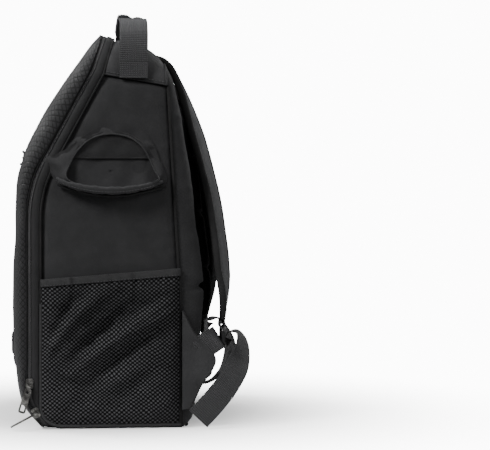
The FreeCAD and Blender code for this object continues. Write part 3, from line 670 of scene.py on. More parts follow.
def yoke():
    t = linspace(0, 1, 46)
    base = smooth([(-8, 424, 0), (30, 417.6, 0), (69, 411, 0)], len(t))[:, :2]
    crown = smooth([(5.4, 469.6, 0), (20, 468.4, 0), (33, 464.6, 0), (47, 458.0, 0),
        (58, 448.5, 0), (66.4, 437.2, 0)], len(t))[:, :2]
    rise = crown - base
    radius = interp(t, [0, 0.5, 1], [50, 44, 27])
    rows = []
    for k in range(len(t)):
        r = radius[k]
        a = linspace(0, math.pi / 2, 18)
        x = joined(HALF - r * (1 - np.cos(a)), linspace(HALF - r, 0, 16)[1:])
        h = joined(np.sin(a), np.ones(15))
        x = joined(x, -x[-2::-1])
        h = joined(h, h[-2::-1])
        edge = min(k, len(t) - 1 - k)
        sink = -2.0 * math.exp(-edge / 1.3)
        sag = -2.2 * np.exp(-(x / 90) ** 2) * math.sin(math.pi * t[k])
        y = base[k, 0] + rise[k, 0] * h
        z = base[k, 1] + rise[k, 1] * h + (sink + sag) * h
        x = x + np.sign(x) * (0.8 + sink * 0.6) * (1 - h**6)
        rows.append(columns(x, y, z))
    P = np.stack(rows, axis=1)
    N = grid_normals(P)
    a, b = P[:, :, 0], P[:, :, 1]
    P = P + N * (0.55 * waves(a, b, 50, 4) * np.sin(linspace(0, math.pi, len(t))))[:, :, None]
    slab("yoke_skin", P, 2.5, "nylon_light", "case", ["top_yoke"], side=-1)
    for sign, side in SIDES:
        seam = [(sign * (HALF + 0.4), y, yoke_edge(y) + 0.4)
            for y in linspace(-7.5, 68.5, 30)]
        tube("yoke_seam_" + side, seam, 0.9, "binding", "case", sides=8)
    runs = []
    for sign in (1, -1):
        runs.append([(sign * (HALF + 1.4), y, yoke_edge(y, 427.5))
            for y in linspace(-5, 66, 20)])
    stitches("yoke_stitches", runs, "case")
    back = [P[k, -2] + [0, 0.5, 0.5] for k in range(P.shape[0])]
    tube("yoke_back_piping", back, 1.5, "binding", "case", sides=8)


yoke()

# --- lid ---

LID_KEYS = [((-79.4, 3.4), (-80.8, 4.2)), ((-86.1, 14), (-94.5, 18.5)),
    ((-99.4, 46), (-106.8, 42)), ((-99.6, 80), (-112.4, 78)), ((-99.6, 140), (-113.2, 140)),
    ((-99.6, 250), (-110.7, 252)), ((-98.6, 275), (-108.6, 292)), ((-89.6, 310), (-101.4, 332)),
    ((-70.5, 344), (-84, 369)), ((-45, 391), (-59, 408)), ((-22.6, 432), (-36.2, 441)),
    ((-12.8, 457), (-21, 462)), ((-8.4, 473.6), (-9.6, 474.2)),]


def lid_point_grid(rows=120, corner=12, face=70):
    keys = np.array([(a[0], a[1], b[0], b[1]) for a, b in LID_KEYS])
    fine = smooth(np.column_stack([keys[:, 0], keys[:, 1], keys[:, 0] * 0, keys[:, 2],
        keys[:, 3]]), rows)
    a = linspace(0, math.pi / 2, corner)
    part = joined(1 - np.cos(a), np.full(face, 1.0))
    depth = joined(np.sin(a), np.ones(face))
    across = linspace(0, 1, face + 1)[1:]
    cols = []
    for y0, z0, _, y1, z1 in fine:
        w0, w1 = float(half_at(z0, 474.2)), float(half_at(z1, 474.2))
        reach = 30.0
        x = joined(-(w0 + (w1 - w0) * depth[:corner]) + reach * part[:corner], (-w1 + reach)
            + across * 2 * (w1 - reach))
        g = depth.copy()
        crown = 1 - (clamp(np.abs(x) / max(w1 - reach, 1))) ** 2.4
        g[corner:] = 0.9 + 0.1 * crown[corner:]
        g[:corner] *= 0.9
        y = y0 + (y1 - y0) * g
        z = z0 + (z1 - z0) * g
        side = columns(x, y, z)
        tail = side[:corner][::-1] * [-1, 1, 1]
        cols.append(joined(side[:-1], tail))
    return np.stack(cols, axis=1)


def lid():
    P = lid_point_grid()
    N = grid_normals(P)
    x, z = P[:, :, 0], P[:, :, 2]
    edge = linspace(0, 1, P.shape[0])
    inner = np.minimum(edge, 1 - edge)[:, None] * 94
    P = P + N * (0.7 * waves(x, z, 90, 31) * fade(inner, 5) * -1)[:, :, None]
    # painted shade: the lid's ripstop is a darker, duller copy of the side pocket's cloth
    made = slab("lid_skin", P, 3.0, "lid_ripstop_painted_shade", "lid", ["lid_shell"], side=-1)
    tube("lid_binding", ring(16.9, -0.3), 1.5, "binding", "lid", sides=10)
    stitches("lid_edge_stitches", [ring(20.5, 0.9)[12:-12]], "lid", pitch=4.6)


lid()

# --- padded forms ---

def points_of(mesh):
    co = np.empty(len(mesh.vertices) * 3, dtype=np.float32)
    mesh.vertices.foreach_get("co", co)
    return co.reshape(-1, 3).astype(float) / MM


def normals_of(mesh):
    normal = np.empty(len(mesh.vertices) * 3, dtype=np.float32)
    mesh.vertices.foreach_get("normal", normal)
    return normal.reshape(-1, 3).astype(float)


def move_points(mesh, co):
    mesh.vertices.foreach_set("co", (co * MM).astype(np.float32).ravel())
    mesh.update()


def applied(made):
    """The object keeps the shape that its modifiers give it, and loses the modifiers."""
    graph = bpy.context.evaluated_depsgraph_get()
    mesh = bpy.data.meshes.new_from_object(made.evaluated_get(graph))
    made.modifiers.clear()
    made.data = mesh


def even_mesh(made, voxel, ease=0):
    remesh = made.modifiers.new("Even_Mesh", "REMESH")
    remesh.mode = "VOXEL"
    remesh.voxel_size = voxel * MM
    if ease:
        smoother = made.modifiers.new("Ease", "SMOOTH")
        smoother.factor = 0.5
        smoother.iterations = ease
    applied(made)


def dress(made, look):
    """Cloth coordinates from the side that each face looks to, smooth shading and a material."""
    mesh = made.data
    co = points_of(mesh)
    layer = mesh.uv_layers.get("cloth") or mesh.uv_layers.new(name="cloth")
    loops = np.empty(len(mesh.loops), dtype=np.int32)
    mesh.loops.foreach_get("vertex_index", loops)
    counts = np.array([p.loop_total for p in mesh.polygons])
    facing = np.repeat([int(np.argmax(np.abs(p.normal))) for p in mesh.polygons], counts)
    spot = co[loops] * MM
    u = np.where(facing == 0, spot[:, 1], spot[:, 0])
    v = np.where(facing == 2, spot[:, 1], spot[:, 2])
    layer.data.foreach_set("uv", columns(u, v).astype(np.float32).ravel())
    mesh.polygons.foreach_set("use_smooth", [True] * len(mesh.polygons))
    mesh.materials.clear()
    mesh.materials.append(LOOKS[look][0])


def inflated(made, look, voxel, cap, press=None):
    """Cloth simulation: the cover fills out like a cushion, and then its sewn channels go in."""
    scene = bpy.context.scene
    even_mesh(made, voxel)
    start = points_of(made.data)
    cloth = made.modifiers.new("Cover", "CLOTH")
    cloth.settings.quality = 5
    cloth.settings.use_pressure = True
    cloth.settings.uniform_pressure_force = SIM_PRESSURE
    cloth.settings.effector_weights.gravity = 0.0
    cloth.collision_settings.use_collision = False
    cloth.point_cache.frame_start = 1
    cloth.point_cache.frame_end = SIM_FRAMES
    for number in range(1, SIM_FRAMES + 1):
        scene.frame_set(number)
    applied(made)
    moved = points_of(made.data) - start
    far = np.linalg.norm(moved, axis=1, keepdims=True)
    move_points(made.data, start + moved * np.minimum(1, cap / np.maximum(far, 1e-6)))
    scene.frame_set(1)
    finer = made.modifiers.new("Finer", "SUBSURF")
    finer.levels = finer.render_levels = 1
    applied(made)
    if press:
        co = points_of(made.data)
        move_points(made.data, press(co, normals_of(made.data)))
    dress(made, look)


# --- carry handle ---


def handle():
    right = [(172.4, 28, 421), (173.0, 28, 436), (172.6, 28.2, 452), (166.5, 28.6, 470),
        (150, 28.8, 485), (126, 28.8, 494), (98, 28.6, 498), (60, 28.4, 499.4)]
    path = smooth(right + [(-x, y, z) for x, y, z in right[::-1]], 150)
    sweep("handle_band", path, (0, 1, 0.0), oval(HANDLE_WEB, 2.6, 6, 28), "webbing", "handle",
        ["handle_webbing"])
    n = 61
    x = linspace(-97, 97, n)
    z = 500.2 - 3.2 * (x / 97) ** 2
    centre = columns(x, np.full(n, 28.4), z)
    a = linspace(0, 2 * math.pi, 44, endpoint=False)
    c, s = np.cos(a), np.sin(a)
    wide = np.sign(c) * np.abs(c) ** 0.62 * 18.4
    crease = 3.4 * np.exp(-((wide + 1.0) / 3.6) ** 2) * (s > 0)
    high = np.where(s > 0, np.abs(s) ** 0.55 * 6.6 - crease, -np.abs(s) ** 0.6 * 4.2)
    section = columns(wide, high)
    taper = 1 - 0.22 * np.exp(-(97 - np.abs(x)) / 7)
    wobble = 1 + 0.035 * waves(x, x * 0, 34, 8)
    scale = columns(0.6 + 0.4 * taper, taper * wobble)
    sec = section[None] * scale[:, None]
    tilt = math.radians(9)
    Y = -(sec[:, :, 0] * math.cos(tilt)) - sec[:, :, 1] * math.sin(tilt) * 0.4
    Z = sec[:, :, 0] * math.sin(tilt) + sec[:, :, 1] * math.cos(tilt)
    P = layers(np.broadcast_to(centre[:, None, 0], Y.shape), centre[:, None, 1] + Y,
        centre[:, None, 2] + Z)
    m = len(a)
    faces = grid_faces(n, m, wrap=True) + [tuple(range(m))[::-1],
        tuple((n - 1) * m + j for j in range(m))]
    uv = layers(np.broadcast_to(x[:, None], Y.shape), np.broadcast_to(a[None] * 13, Y.shape))
    made = piece("handle_sleeve", P, faces, "grip", "handle", uv * MM, ["handle_grip"])
    ends = []
    for sign in (1, -1):
        k = n - 4 if sign > 0 else 3
        loop = joined(P[k], P[k][:1])
        mid = loop.mean(axis=0)
        ends.append((loop - mid) * [1, 1.02, 1.05] + mid)
    stitches("handle_sleeve_stitches", ends, "handle", pitch=3.4, length=2.2, radius=0.34)
    for sign, side in SIDES:
        y, z = lattice(linspace(11, 45, 20), linspace(419.5, 438.5, 12))
        x = sign * (HALF + 2.5 + 0.35 * waves(y, z, 16, 5) * 0.5)
        slab("handle_patch_" + side, layers(x, y, z), 2.2, "webbing", "case", uv="yz", side=-sign,
            replaces=["handle_anchors"] if sign > 0 else [])
        f = sign * (HALF + 2.5)
        box = [(f, 13.4, 421.6), (f, 42.6, 421.6), (f, 42.6, 436.4), (f, 13.4, 436.4),
            (f, 13.4, 421.6)]
        cross = [[(f, 13.4, 421.6), (f, 42.6, 436.4)], [(f, 42.6, 421.6), (f, 13.4, 436.4)]]
        stitches("handle_patch_stitches_" + side, [box] + cross, "case", pitch=2.9, length=2.0,
            radius=0.34)


handle()

# --- right side: mesh pocket and scoop pouch ---

def pocket_grid(y0, y1, low, top, nu, nv, corner=23.0):
    """y and z of a pocket between two seams, with its front lower corner rounded like the shell."""
    u = linspace(0, 1, nu)[:, None]
    v = linspace(0, 1, nv)[None]
    zt = top[0] + (top[1] - top[0]) * u
    z = low + (zt - low) * v
    near = clamp((corner - (z - low)) / corner)
    front = y0 + corner * (1 - np.sqrt(clamp(1 - near**2)))
    y = front + (y1 - front) * u
    return y, z, zt, y - front


def draped(y, z, folds):
    """Height of long soft folds: each is a curved ridge, or a valley if its size is negative."""
    h = np.zeros_like(y)
    for y0, z0, y1, z1, size, width, bend in folds:
        dy, dz = y1 - y0, z1 - z0
        length = math.hypot(dy, dz)
        t = ((y - y0) * dy + (z - z0) * dz) / length**2
        off = ((y - y0) * dz - (z - z0) * dy) / length + bend * (4 * (t - 0.5) ** 2 - 1)
        spread = width * (0.7 + 0.6 * clamp(t))
        h += size * np.exp(-(off / spread) ** 2) * np.exp(-((t - 0.5) / 0.55) ** 4)
    return h


def foot_piping(name, sign, y0, y1, low, corner=23.0):
    """The bound edge that a side pocket shares with the shell's foot."""
    a = linspace(0, math.pi / 2, 14)
    run = [(sign * (HALF + 2.0), y0, z) for z in linspace(150, low + corner + 2, 30)]
    run += [(sign * (HALF + 2.0), y0 + corner * (1 - math.cos(k)), low + corner
        * (1 - math.sin(k))) for k in a]
    run += [(sign * (HALF + 2.0), y, low) for y in linspace(y0 + corner + 3, y1, 40)]
    tube(name, resample(run, 150), 1.9, "binding", "case", sides=10)


MESH_FOLDS = [(-80, 80, 2, 170, 6.5, 8, -9), (-72, 104, -34, 166, -6.5, 8, 0),
    (-40, 92, 50, 158, -8.0, 9, -3), (-34, 76, 80, 146, 6.5, 8, -5),
    (-20, 62, 66, 120, -6.0, 9, -3), (-16, 44, 80, 98, 3.4, 10, 0), (-80, 76, -14, 64, 2.4, 5, 4),
    (10, 130, 74, 172, 3.5, 7, -3), (-60, 60, 20, 28, -2.2, 12, 0), (24, 118, 81, 152, -2.5, 4, 0),
    (44, 40, 80, 12, 2.4, 9, 0),]


def mesh_pocket():
    y, z, zt, inset = pocket_grid(-82.5, 83.6, 4.5, (172, 185), 120, 120)
    side = fade(inset, 6) * fade(83.6 - y, 6) * fade(z - 4, 8)
    top = np.exp(-(zt - z) / 16)
    h = draped(y, z, MESH_FOLDS) + 1.0 * waves(y - z * 0.8, z * 0.4, 46, 17) + 0.7 * waves(y, z,
        17, 18)
    pull = np.abs(waves(y, y * 0, 17, 19)) * top * 1.6
    x = HALF + 1.4 + 9.4 * side * (1 - 0.55 * top) + h * side * (1 - 0.8 * top) - pull * side
    x = HALF + 1.0 + np.where(x - HALF - 1.0 > 0, x - HALF - 1.0, 0.25 * (x - HALF - 1.0))
    P = layers(np.maximum(x, HALF + 0.5), y, z)
    made = slab("mesh_pocket_net", P, 1.1, "mesh", "case", ["mesh_pocket"], uv="yz")
    edge = smooth(joined(P[::4, -1], P[-1:, -1]), 90) + [0.9, 0, 2.2]
    across = np.tile([0.0, -0.08, 1.0], (len(edge), 1))
    sweep("mesh_pocket_tape", edge, across, oval(9.4, 3.2, 4, 20), "binding", "case",
        ["mesh_pocket_binding"])
    stitches("mesh_pocket_stitches", [edge + [1.8, 0, -3.2]], "case", pitch=3.6, length=2.4)
    foot_piping("mesh_pocket_piping", 1, -82.5, 84, 4.6)
    # the seam is real; its near-black colour is painted shadow along it
    seam = [(HALF + 1.6, 83.6, zz) for zz in linspace(5, 188, 50)]
    tube("mesh_pocket_seam", seam, 1.5, "seam", "case", sides=8)


mesh_pocket()


def closed_smooth(points, count):
    p = list(points)
    loop = smooth(p[-3:] + p + p[:4], count * 3)
    start = np.linalg.norm(loop[:, :3] - np.array(p[0])[:3], axis=1)
    half = len(loop) // 2
    a = int(np.argmin(start[:half]))
    b = half + int(np.argmin(start[half:]))
    return resample(loop[a:b + 1], count + 1)[:-1]


def pouch():
    """A scoop pocket: the arch of its mouth lies on the panel and its lip hangs off it."""
    mouth = closed_smooth([(-52, 300, 0), (-47, 318, 0), (-38, 333, 0), (-25, 345, 0),
        (-9, 351, 0), (10, 351.5, 0), (25, 347, 0), (38, 337, 0), (47, 322, 0), (53, 308, 0),
        (58, 298, 0), (44, 292.5, 0), (26, 288.5, 0), (5, 287, 0), (-18, 288, 0), (-40, 292, 0)],
        180)[:, :2]
    outer = closed_smooth([(-64, 296, 0), (-74, 309, 0), (-79, 321, 0), (-60, 334, 0),
        (-42, 347, 0), (-24, 360, 0), (-8, 367, 0), (12, 368, 0), (32, 364, 0), (51, 350, 0),
        (61, 330, 0), (65, 312, 0), (68, 296, 0), (48, 287.5, 0), (27, 284, 0), (5, 282.5, 0),
        (-18, 283.5, 0), (-44, 288, 0)], 180)[:, :2]
    t = linspace(0, 1, 20)[None, :, None]
    flat = outer[:, None] + (mouth[:, None] - outer[:, None]) * t
    tt = t[:, :, 0]
    y, z = flat[:, :, 0], flat[:, :, 1]
    low = clamp((322 - mouth[:, 1]) / 28)[:, None]
    left = np.exp(-((mouth[:, 0] + 56) / 16) ** 2)[:, None] * np.exp(-((mouth[:, 1] - 318)
        / 16) ** 2)[:, None]
    stand = 7.0 + 10.5 * low
    x = HALF - 0.4 + stand * (0.28 * tt + 0.72 * tt ** (1.6 - 1.1 * low))
    x = x + 5.0 * left * np.sin(tt * math.pi) ** 0.7 * (0.4 + 0.6 * (1 - tt))
    x = x + (0.9 * waves(y, z, 26, 41) + 1.3 * waves(y + z, y * 0, 19, 42) * (1 - low)) * np.sin(tt
        * math.pi)
    P = layers(x, y, z)
    P = joined(P, P[:1])
    slab("pouch_flap", P, 1.6, "nylon", "case", ["side_pouch"], uv="yz", side=-1)
    lip = resample(P[:, -1], 200)
    tube("pouch_edge", lip, 0.8, "binding", "case", sides=8)
    front = smooth([(HALF + 12, -64, 299), (HALF + 14.5, -56, 294.5), (HALF + 16, -44, 290.5),
        (HALF + 17.5, -28, 287), (HALF + 18.3, -8, 284.8), (HALF + 18.3, 14, 285),
        (HALF + 17.3, 32, 287.4), (HALF + 15.5, 48, 291), (HALF + 13, 62, 295.5)], 120)
    span = linspace(-1, 1, 120)
    plump = 1 - 0.6 * np.abs(span) ** 3 + 0.07 * np.sin(span * 19) + 0.05 * np.sin(span * 43)
    across = np.tile([0.35, 0.0, 1.0], (120, 1))
    sweep("pouch_lip", front, across, oval(9.5, 4.4, 2.4, 26), "nylon_light", "case",
        scale=columns(plump, 0.7 + 0.3 * plump))
    stitches("pouch_lip_stitches",
        [(front + columns(2.7 + 0 * span, 0 * span, -1.6 + 0 * span))[8:-8]], "case", pitch=3.6,
        length=2.4, radius=0.34)
    # painted shadow: a near-black tube under the lip stands for the shadow line the lip casts on
    # the panel
    shade = smooth([(HALF + 6, -62, 292), (HALF + 10, -40, 284.8), (HALF + 11, -8, 279),
        (HALF + 11, 16, 279.2), (HALF + 9.5, 44, 284), (HALF + 5, 66, 289.5)], 80)
    tube("pouch_lip_shadow", shade, 1.9, "seam", "case", sides=10)
    centre = np.array([0.0, 308.0])
    ring_pts = outer[::4]
    fan = np.stack([centre + (ring_pts - centre) * f for f in linspace(0.02, 0.93, 40)], axis=1)
    depth = HALF + 2.2 + 0.5 * waves(fan[:, :, 0], fan[:, :, 1], 30, 44)
    depth = depth + 3.6 * clamp((320 - fan[:, :, 1]) / 40) ** 1.3
    Q = layers(depth, fan[:, :, 0], fan[:, :, 1])
    Q = joined(Q, Q[:1])
    slab("pouch_lining", Q, 0.8, "nylon", "case", uv="yz", side=-1)
    y, zz = lattice(linspace(-47, 49, 60), linspace(0, 1, 20))
    keep = interp(y[:, :1], [-47, -38, -25, -9, 10, 25, 38, 49],
        [326, 338, 349, 355, 355, 351, 342, 327])
    zz = 324 + (keep - 324) * zz
    strip = layers(HALF + 3.9 + 0.4 * waves(y, zz, 18, 46), y, zz)
    slab("pouch_web_panel", strip, 1.0, "nylon_dark", "case", uv="yz", side=-1)
    hem = columns(HALF + 4.1 + 0 * y[:, 0], y[:, 0], 323.6 + 0 * y[:, 0])
    tube("pouch_web_hem", hem, 0.9, "nylon_dark", "case", sides=8)


pouch()

# --- left side: gathered ripstop pocket ---

RIPSTOP_FOLDS = [(28, 240, 58, 184, 8.0, 9, 3), (71, 206, -32, 102, 8.0, 11, -20),
    (-1, 232, -27, 136, 7.5, 9, 5), (-31, 213, -51, 146, 6.5, 7, 3), (66, 264, 42, 214, 5.5, 8, 3),
    (9, 224, 8, 168, -5.5, 8, 0), (-17, 214, -41, 150, -5.0, 6, 3),
    (48, 176, 18, 150, -5.0, 10, 0), (76, 150, 58, 88, 3.5, 12, 4),
    (-54, 200, -68, 146, 4.5, 6, 2), (80, 122, -58, 56, 2.8, 16, -8),
    (-40, 128, -72, 100, -3.0, 9, 0),]


def ripstop_pocket():
    y, z, zt, inset = pocket_grid(-82.8, 83.4, 4.5, (190, 291), 150, 190)
    side = fade(inset, 7) * fade(83.4 - y, 7) * fade(z - 4, 9)
    below = zt - z
    gather = np.zeros_like(y)
    rng = np.random.RandomState(5)
    spots = np.cumsum(rng.uniform(9, 17, 14)) - 82
    for spot in spots:
        reach = rng.uniform(12, 26)
        size = rng.uniform(2.6, 4.4)
        width = rng.uniform(3.0, 4.6) * (1 + below / 60)
        drift = spot - rng.uniform(-0.2, 0.35) * below
        gather += size * np.exp(-((y - drift) / width) ** 2) * np.exp(-below / reach)
    folds = draped(y, z, RIPSTOP_FOLDS)
    top = np.exp(-below / 16)
    belly = 9.5 * side * (1 - 0.62 * top)
    x = HALF + 1.2 + belly + (folds * (1 - top) + gather) * side * 0.9 + 0.5 * waves(y, z, 40,
        66) * side
    x = np.clip(x, HALF + 0.9, HALF + 21)
    P = layers(-x, y, z)
    # painted light: the pocket's ripstop is a lighter, glossier copy of the lid's cloth
    made = slab("ripstop_pocket_cloth", P, 1.2, "ripstop", "case", ["ripstop_pocket"], uv="yz",
        side=-1)
    edge = smooth(joined(P[::6, -1], P[-1:, -1]), 110) + [-0.5, -1.6, 2.8]
    across = np.tile([0.0, -0.52, 0.85], (len(edge), 1))
    sweep("ripstop_pocket_tape", edge, across, oval(9.6, 2.8, 4, 20), "binding", "case",
        ["ripstop_pocket_binding"])
    foot_piping("ripstop_pocket_piping", -1, -82.8, 84, 4.6)
    # the seam is real; its near-black colour is painted shadow along it
    seam = [(-HALF - 1.6, 83.4, zz) for zz in linspace(5, 296, 60)]
    tube("ripstop_pocket_seam", seam, 1.5, "seam", "case", sides=8)


ripstop_pocket()

# --- back ---

BACK_KEYS = [((85.6, 1.2), (92, 1.4)), ((85.4, 14), (98.5, 12)), ((85, 36), (103, 36)),
    ((84.7, 72), (106.4, 70)), ((84.5, 110), (108.6, 110)), ((84.3, 134), (111.6, 134)),
    ((84.1, 156), (112.8, 152)), ((82.8, 182), (112.4, 178)), ((80.4, 222), (108.6, 216)),
    ((78, 256), (103.4, 250)), ((75.6, 300), (98, 298)), ((73, 345), (91.4, 345)),
    ((70.6, 388), (82.8, 386)), ((68.6, 418), (75.6, 420)), ((66.6, 436), (67.6, 437.4)),]


def back_rows(rows):
    keys = np.array([(a[0], a[1], 0, b[0], b[1]) for a, b in BACK_KEYS], float)
    return smooth(keys, rows)


def back_outer(z):
    rows = back_rows(300)
    return interp(z, rows[:, 4], rows[:, 3])


def back():
    rows = back_rows(150)
    a = linspace(0, math.pi / 2, 14)
    cols = []
    for y0, z0, _, y1, z1 in rows:
        w = 168.5 - (26 * (1 - math.sqrt(max(1 - max((z1 - 411.5) / 26.5, 0) ** 2, 0)))
            if z1 > 411.5 else 0)
        w -= 10 * (1 - math.sqrt(max(1 - max((14 - z1) / 14, 0) ** 2, 0)))
        x = joined(w + 1.2 - 15 * (1 - np.cos(a)), linspace(w - 13.8, 0, 46)[1:])
        g = joined(np.sin(a), np.ones(45))
        dip = 0.18 * fade(w - 13.8 - x - 14, 9)
        g = g - dip
        x = joined(x, -x[-2::-1])
        g = joined(g, g[-2::-1])
        cols.append(columns(x, y0 + (y1 - y0) * g, z0 + (z1 - z0) * g))
    P = np.stack(cols, axis=1)
    x, y, z = P[:, :, 0], P[:, :, 1], P[:, :, 2]
    edge = fade(170 - np.abs(x), 6)
    crease = -6.5 * np.exp(-((z - 166 - 0.25 * (y - 98)) / 3.0) ** 2) * fade(np.abs(x) - 118, 14)
    crease += -4.0 * np.exp(-((z - 176 + 0.3 * (y - 98)) / 2.2) ** 2) * fade(np.abs(x) - 132, 14)
    puckers = -0.9 * np.abs(waves(z, z * 0, 21, 71)) * np.exp(-np.abs(168 - np.abs(x)) / 10)
    sew = -1.8 * bump(np.abs(x), 142, 2.2)
    out = crease * edge + puckers + sew + 0.8 * waves(x, z, 60, 72) * edge
    P[:, :, 1] = y + out
    made = slab("back_skin", P, 3.0, "nylon", "case", ["back_panel"], uv="xz")
    runs = []
    for sign in (1, -1):
        zz = linspace(14, 418, 160)
        runs.append(columns(np.full_like(zz, sign * 138.4), interp(zz, rows[:, 4], rows[:, 3])
            - 3.6, zz))
    stitches("back_stitches", runs, "case")
    # the piping is real; its near-black colour is painted shadow in the back seams
    for sign, side in SIDES:
        seam = [(sign * (HALF - 0.4), yy + 0.4, zz) for yy,
            zz in zip(interp(linspace(4, 409, 90), BACK_SEAM[:, 1], BACK_SEAM[:, 0]),
            linspace(4, 409, 90))]
        tube("back_piping_" + side, seam, 2.1, "seam", "case", sides=8)


back()


PAD_LOW, PAD_HIGH, CHANNELS = 124, 396, (190, 258, 326)


def pressed_channels(co, normal):
    """Three sewn channels across a back pad."""
    deep = sum(2.8 * bump(co[:, 2], c, 2.6) for c in CHANNELS)
    co[:, 1] -= deep * clamp((normal[:, 1] - 0.3) / 0.4)
    return co


def back_pads():
    for sign, side in SIDES:
        nu, nv = 56, 110
        u, v = lattice(linspace(0, 1, nu), linspace(0, 1, nv))
        z = PAD_LOW + (PAD_HIGH - PAD_LOW) * v
        inner_x = 18 + 3 * np.sin(math.pi * v)
        outer_x = 128 - 10 * v**2 - 2 * np.cos(math.pi * v)
        corner = 16.0
        inset = clamp((corner - np.minimum(z - PAD_LOW, PAD_HIGH - z)) / corner)
        cut = corner * (1 - np.sqrt(clamp(1 - inset ** 2)))
        x = inner_x + cut + (outer_x - inner_x - 2 * cut) * u
        d = np.minimum(np.minimum(x - inner_x - cut, outer_x - cut - x),
            np.minimum(z - PAD_LOW, PAD_HIGH - z))
        full = 6.6
        puff = full * np.sqrt(clamp(1 - (1 - clamp(d / 16)) ** 2))
        channel = sum(2.6 * bump(z, c, 3.0) for c in CHANNELS) * fade(d, 5)
        y = back_outer(z) - 4.6 + puff - channel + 0.5 * waves(x, z, 40, 80 + int(sign)) * fade(d,
            6)
        P = layers(x * sign, y, z)
        made = slab("back_cushion_" + side, P, 7.0, "air_mesh", "case", ["back_pad_" + side],
            uv=layers(x, z) * MM, side=sign)
        inflated(made, "air_mesh", 4.5, 4.0, pressed_channels)
        rim = joined(P[0, :], P[:, -1], P[-1, ::-1], P[::-1, 0])
        tube("back_cushion_piping_" + side, resample(rim, 260) + [0, 0.6, 0], 1.3, "binding",
            "case", sides=8)


back_pads()

# --- shoulder straps ---

STRAP_LINE = [(57, 450, 60), (66, 446.5, 48), (76, 438, 37), (86, 421, 27), (98, 390, 19),
    (113, 340, 14), (125, 290, 11), (132.5, 245, 7), (137.5, 200, 3.5), (139, 160, 0),
    (137.6, 126, -3)]


STRAP_TURN = 15


def strap_middle(z):
    return 82.0 + 58.0 * np.clip((440 - z) / 316.0, -0.05, 1.02)


def strap(sign, side):
    line = smooth([(a, b, 0, c) for a, b, c in STRAP_LINE], 130)
    y, z, lean = line[:, 0], line[:, 1], np.radians(line[:, 3])
    path = columns(sign * strap_middle(z), y, z)
    s = joined([0], np.cumsum(np.linalg.norm(np.diff(path, axis=0), axis=1)))
    end = s[-1] - s
    turn = np.radians(STRAP_TURN) * clamp(s / 110) * np.clip(end / 60, 0.15, 1)
    across = columns(np.cos(turn), -sign * np.sin(turn), 0 * s)
    wide = 1 - 0.30 * np.exp(-end / 14) - 0.05 * np.exp(-s / 20)
    thick = (1 + 0.07 * waves(s, s * 0, 40, 90)) * (1 - 0.45 * np.exp(-end / 16)) * (1 - 0.3
        * np.exp(-s / 14))
    section = oval(60, 10.0, 3.0, 48)
    groove = 1 - 0.16 * np.exp(-((np.abs(section[:, 0]) - 22.5) / 1.7) ** 2)
    section = section * columns(np.ones(48), groove)
    made = sweep("strap_pad_" + side, path, across, section, "strap_nylon", None,
        ["strap_" + side], scale=columns(wide, thick))
    bent = [made]
    tangent = unit(np.gradient(path, axis=0))
    A = unit(across - tangent * (across * tangent).sum(axis=1, keepdims=True))
    B = np.cross(tangent, A)
    if B[:, 1].mean() < 0:
        B = -B
    # the edge bindings are real; their near-black colour is painted shade on the strap's shadowed
    # edges
    for edge, k in (("outer", 1), ("inner", -1)):
        run = path + A * (k * 30.3 * wide)[:, None]
        bent.append(sweep("strap_binding_%s_%s" % (edge, side), run, across, oval(5.0, 8.6, 3, 16),
            "seam", None, scale=columns(np.ones(len(s)), thick)))
    grid = []
    for f in linspace(-0.86, 0.86, 16):
        grid.append(path + A * (f * 29 * wide)[:, None] - B * ((4.9 * (1 - abs(f) ** 5 * 0.4))
            * thick + 0.3)[:, None])
    inner = np.stack(grid, axis=1)
    bent.append(slab("strap_mesh_" + side, inner, 1.2, "air_mesh", None, side=1))
    runs = [(path + A * (k * 26.5 * wide)[:, None] + B * (4.55 * thick)[:, None])[3:-3]
        for k in (1, -1)]
    bent.append(stitches("strap_stitches_" + side, runs, None))
    for made in bent:
        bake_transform(made)
    tab = [(sign * 140, 137.8, 134), (sign * 140, 138.6, 126), (sign * 140, 138.2, 119.5),
        (sign * 140, 136.0, 117.6), (sign * 140, 134.0, 119.5), (sign * 140, 134.0, 127)]
    sweep("lock_tab_" + side, smooth(tab, 40), (1, 0, 0), oval(31, 2.0, 6, 20), "webbing", "strap_"
        + side)


for sign, side in SIDES:
    strap(sign, side)


def rounded_frame(width, height, count=48):
    a = linspace(0, 2 * math.pi, count, endpoint=False)
    c, s = np.cos(a), np.sin(a)
    return columns(np.sign(c) * np.abs(c) ** 0.35 * width / 2, np.sign(s) * np.abs(s) ** 0.35
        * height / 2)


def ladder_lock(sign, side):
    body = "strap_" + side
    mid = np.array([sign * 140, 137.0, 107.8])
    loop = rounded_frame(37, 21)
    path = columns(mid[0] + loop[:, 0], np.full(len(loop), mid[1]) + 1.2 * (loop[:, 1] < -8),
        mid[2] + loop[:, 1])
    sweep("lock_frame_" + side, path, (0, 1, 0), oval(5.0, 4.4, 3, 14), "acetal", body,
        ["ladder_lock_" + side], closed=True)
    for k, dz in enumerate((3.2, -3.6)):
        bar = [(mid[0] - 18, mid[1], mid[2] + dz), (mid[0], mid[1] + 0.8, mid[2] + dz),
            (mid[0] + 18, mid[1], mid[2] + dz)]
        sweep("lock_bar_%s_%d" % (side, k), smooth(bar, 24), (0, 1, 0), oval(4.6, 3.4, 3, 14),
            "acetal", body)


for sign, side in SIDES:
    ladder_lock(sign, side)


